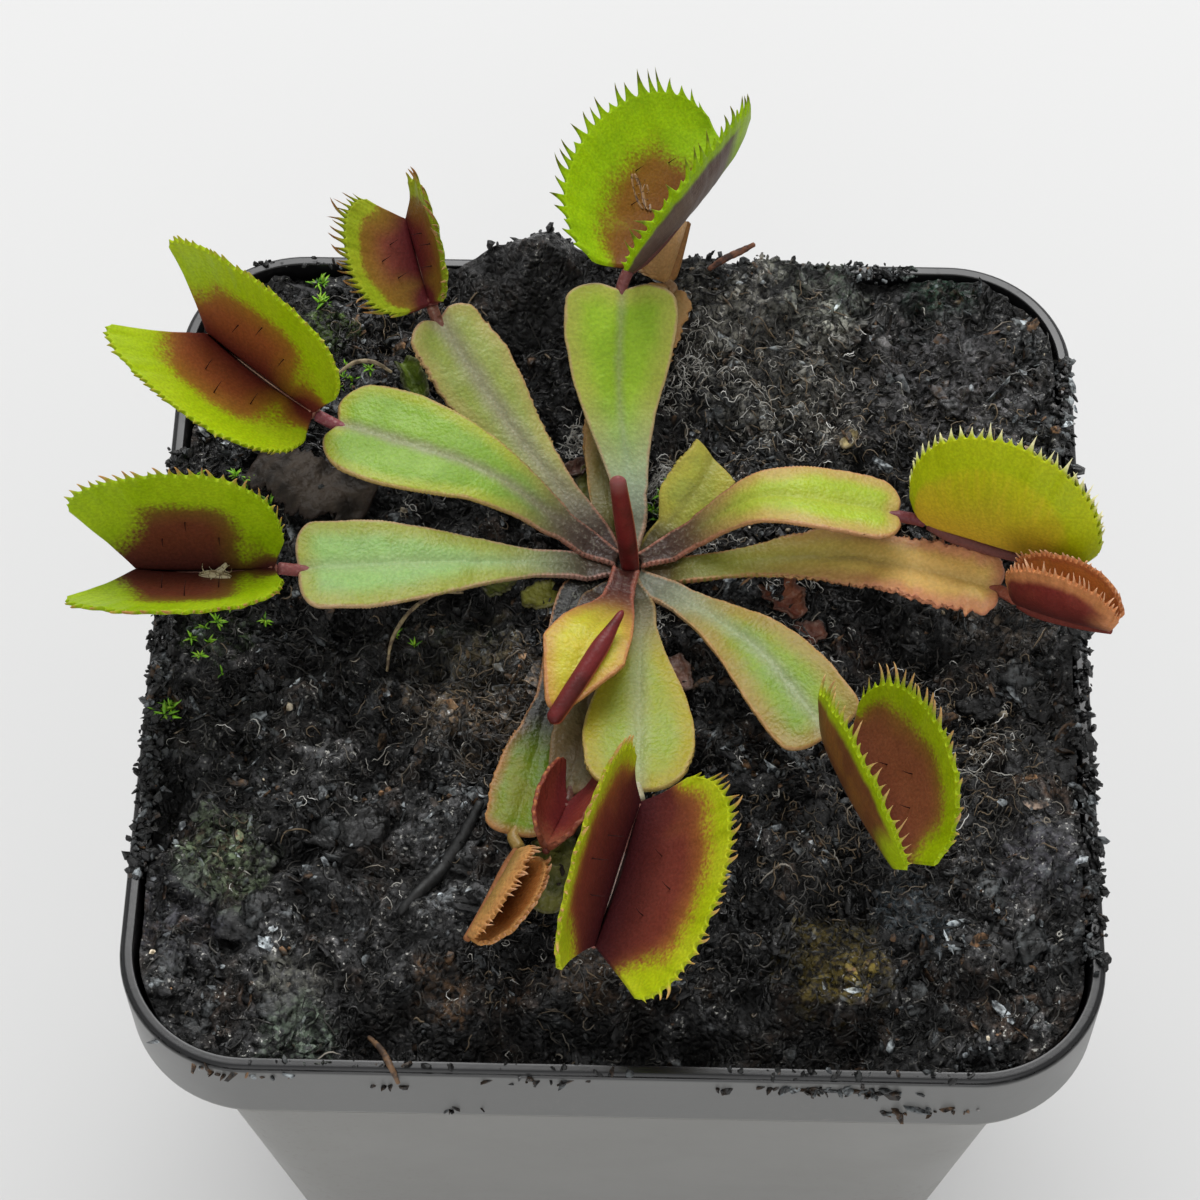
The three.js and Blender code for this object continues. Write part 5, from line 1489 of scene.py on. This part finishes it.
def insectShells(foot, way, side, wide, turn):
    # a curled wing, and three legs beside it
    foot, way, side = np.array(foot), np.array(way), unit(np.array(side))
    u, c = sheetGrid(24, 13)
    half = (wide / 2 * np.sin(np.pi * (0.06 + 0.88 * u)) ** 0.7)[:, None]
    up = unit(np.cross(way, side))
    grid = foot + way * u[:, None, None] + side * (half * c)[..., None]
    grid = grid + up * (0.2 * np.sin(3 * u)[:, None] + 0.1 * np.cos(5 * c + turn))[..., None]
    edge = np.minimum((1 - abs(c)) * half, (np.minimum(u, 1 - u) * 2)[:, None])
    shells = [sheetShell(grid, 0.08 * roundEdge(edge, 0.1) + 0.015)]
    t = np.linspace(0, 1, 7)[:, None]
    for leg in range(3):
        start = foot + way * (0.2 + 0.25 * leg)
        bend = side * (-1) ** leg * 0.9 * t + up * (0.5 * np.sin(np.pi * t)) + unit(way) * 0.4 * t * (leg - 1)
        shells.append(tubeShell(start + bend, 0.05 * (1 - 0.6 * t[:, 0]), 5))
    return shells


def makeInsects():
    for name, tones in insectTones.items():
        n = Finish("insect " + name, rough=0.4)
        veins = n.cells(1800.0)
        material = n.done(n.mix(n.ramp(veins, 0.02, 0.1), *tones), None, veins, 0.5, 0.0001)
        shells = [shell for turn, wing in enumerate(insects[name]) for shell in insectShells(*wing, turn)]
        buildPiece("insect" + name.capitalize(), shells, material)


makeScraps()
makeTwigs()
makeInsects()
print("scraps, twigs and insect remains made")


# floor, lights and camera

stageLook = {
    "floor": 3.0, "floorTone": 0.66, "sky": 0.55, "skyTone": (0.98, 0.985, 0.98, 1),
    # lights: where, how wide, how strong
    "lights": {"key": ((0.0, 0.4, 0.55), 0.42, 3.5), "fill": ((0.1, -0.6, 0.7), 0.7, 1.2),
               "low": ((-0.05, -0.8, 0.16), 0.5, 1.6)},
}


def makeStage():
    half = stageLook["floor"] / 2
    mesh = bpy.data.meshes.new("floor")
    mesh.from_pydata([(-half, -half, 0), (half, -half, 0), (half, half, 0), (-half, half, 0)], [], [(0, 1, 2, 3)])
    floor = bpy.data.objects.new("floor", mesh)
    bpy.context.scene.collection.objects.link(floor)
    mesh.materials.append(Finish("pale floor", rough=0.6, gloss=0.2).done((stageLook["floorTone"],) * 3 + (1,)))

    world = bpy.data.worlds.new("soft daylight")
    world.use_nodes = True
    sky = world.node_tree.nodes["Background"].inputs
    sky["Color"].default_value, sky["Strength"].default_value = stageLook["skyTone"], stageLook["sky"]
    bpy.context.scene.world = world
    for name, (at, size, power) in stageLook["lights"].items():
        lamp = bpy.data.lights.new(name, "AREA")
        lamp.size = size
        lamp.energy = power
        lit = bpy.data.objects.new(name, lamp)
        lit.location = at
        lit.rotation_mode = "QUATERNION"
        lit.rotation_quaternion = (Vector(at) - Vector((0, 0, 0.08))).to_track_quat("Z", "Y")
        bpy.context.scene.collection.objects.link(lit)


cameraLook = {"at": (1.814, -123.82, 297.80), "down": 59.70, "turn": -1.488, "tilt": 0.239, "focal": 3352.8,
              "frame": 1200, "sensor": 36.0}


def makeCamera():
    down, turn, tilt = [math.radians(cameraLook[key]) for key in ("down", "turn", "tilt")]
    ahead = np.array([math.sin(turn), math.cos(turn), 0])
    right = np.array([math.cos(turn), -math.sin(turn), 0])
    forward = ahead * math.cos(down) - np.array([0, 0, math.sin(down)])
    below = -np.cross(right, forward)
    x = right * math.cos(tilt) + below * math.sin(tilt)
    y = right * math.sin(tilt) - below * math.cos(tilt)
    data = bpy.data.cameras.new("camera")
    data.sensor_width = cameraLook["sensor"]
    data.lens = cameraLook["focal"] / cameraLook["frame"] * cameraLook["sensor"]
    data.clip_start, data.clip_end = 0.01, 20
    camera = bpy.data.objects.new("camera", data)
    rows = [(x[i], y[i], -forward[i], cameraLook["at"][i] * toMetres) for i in range(3)]
    camera.matrix_world = Matrix(rows + [(0, 0, 0, 1)])
    bpy.context.scene.collection.objects.link(camera)
    bpy.context.scene.camera = camera


makeStage()
makeCamera()
bpy.context.scene.view_settings.view_transform = "Standard"
print("stage and camera made")
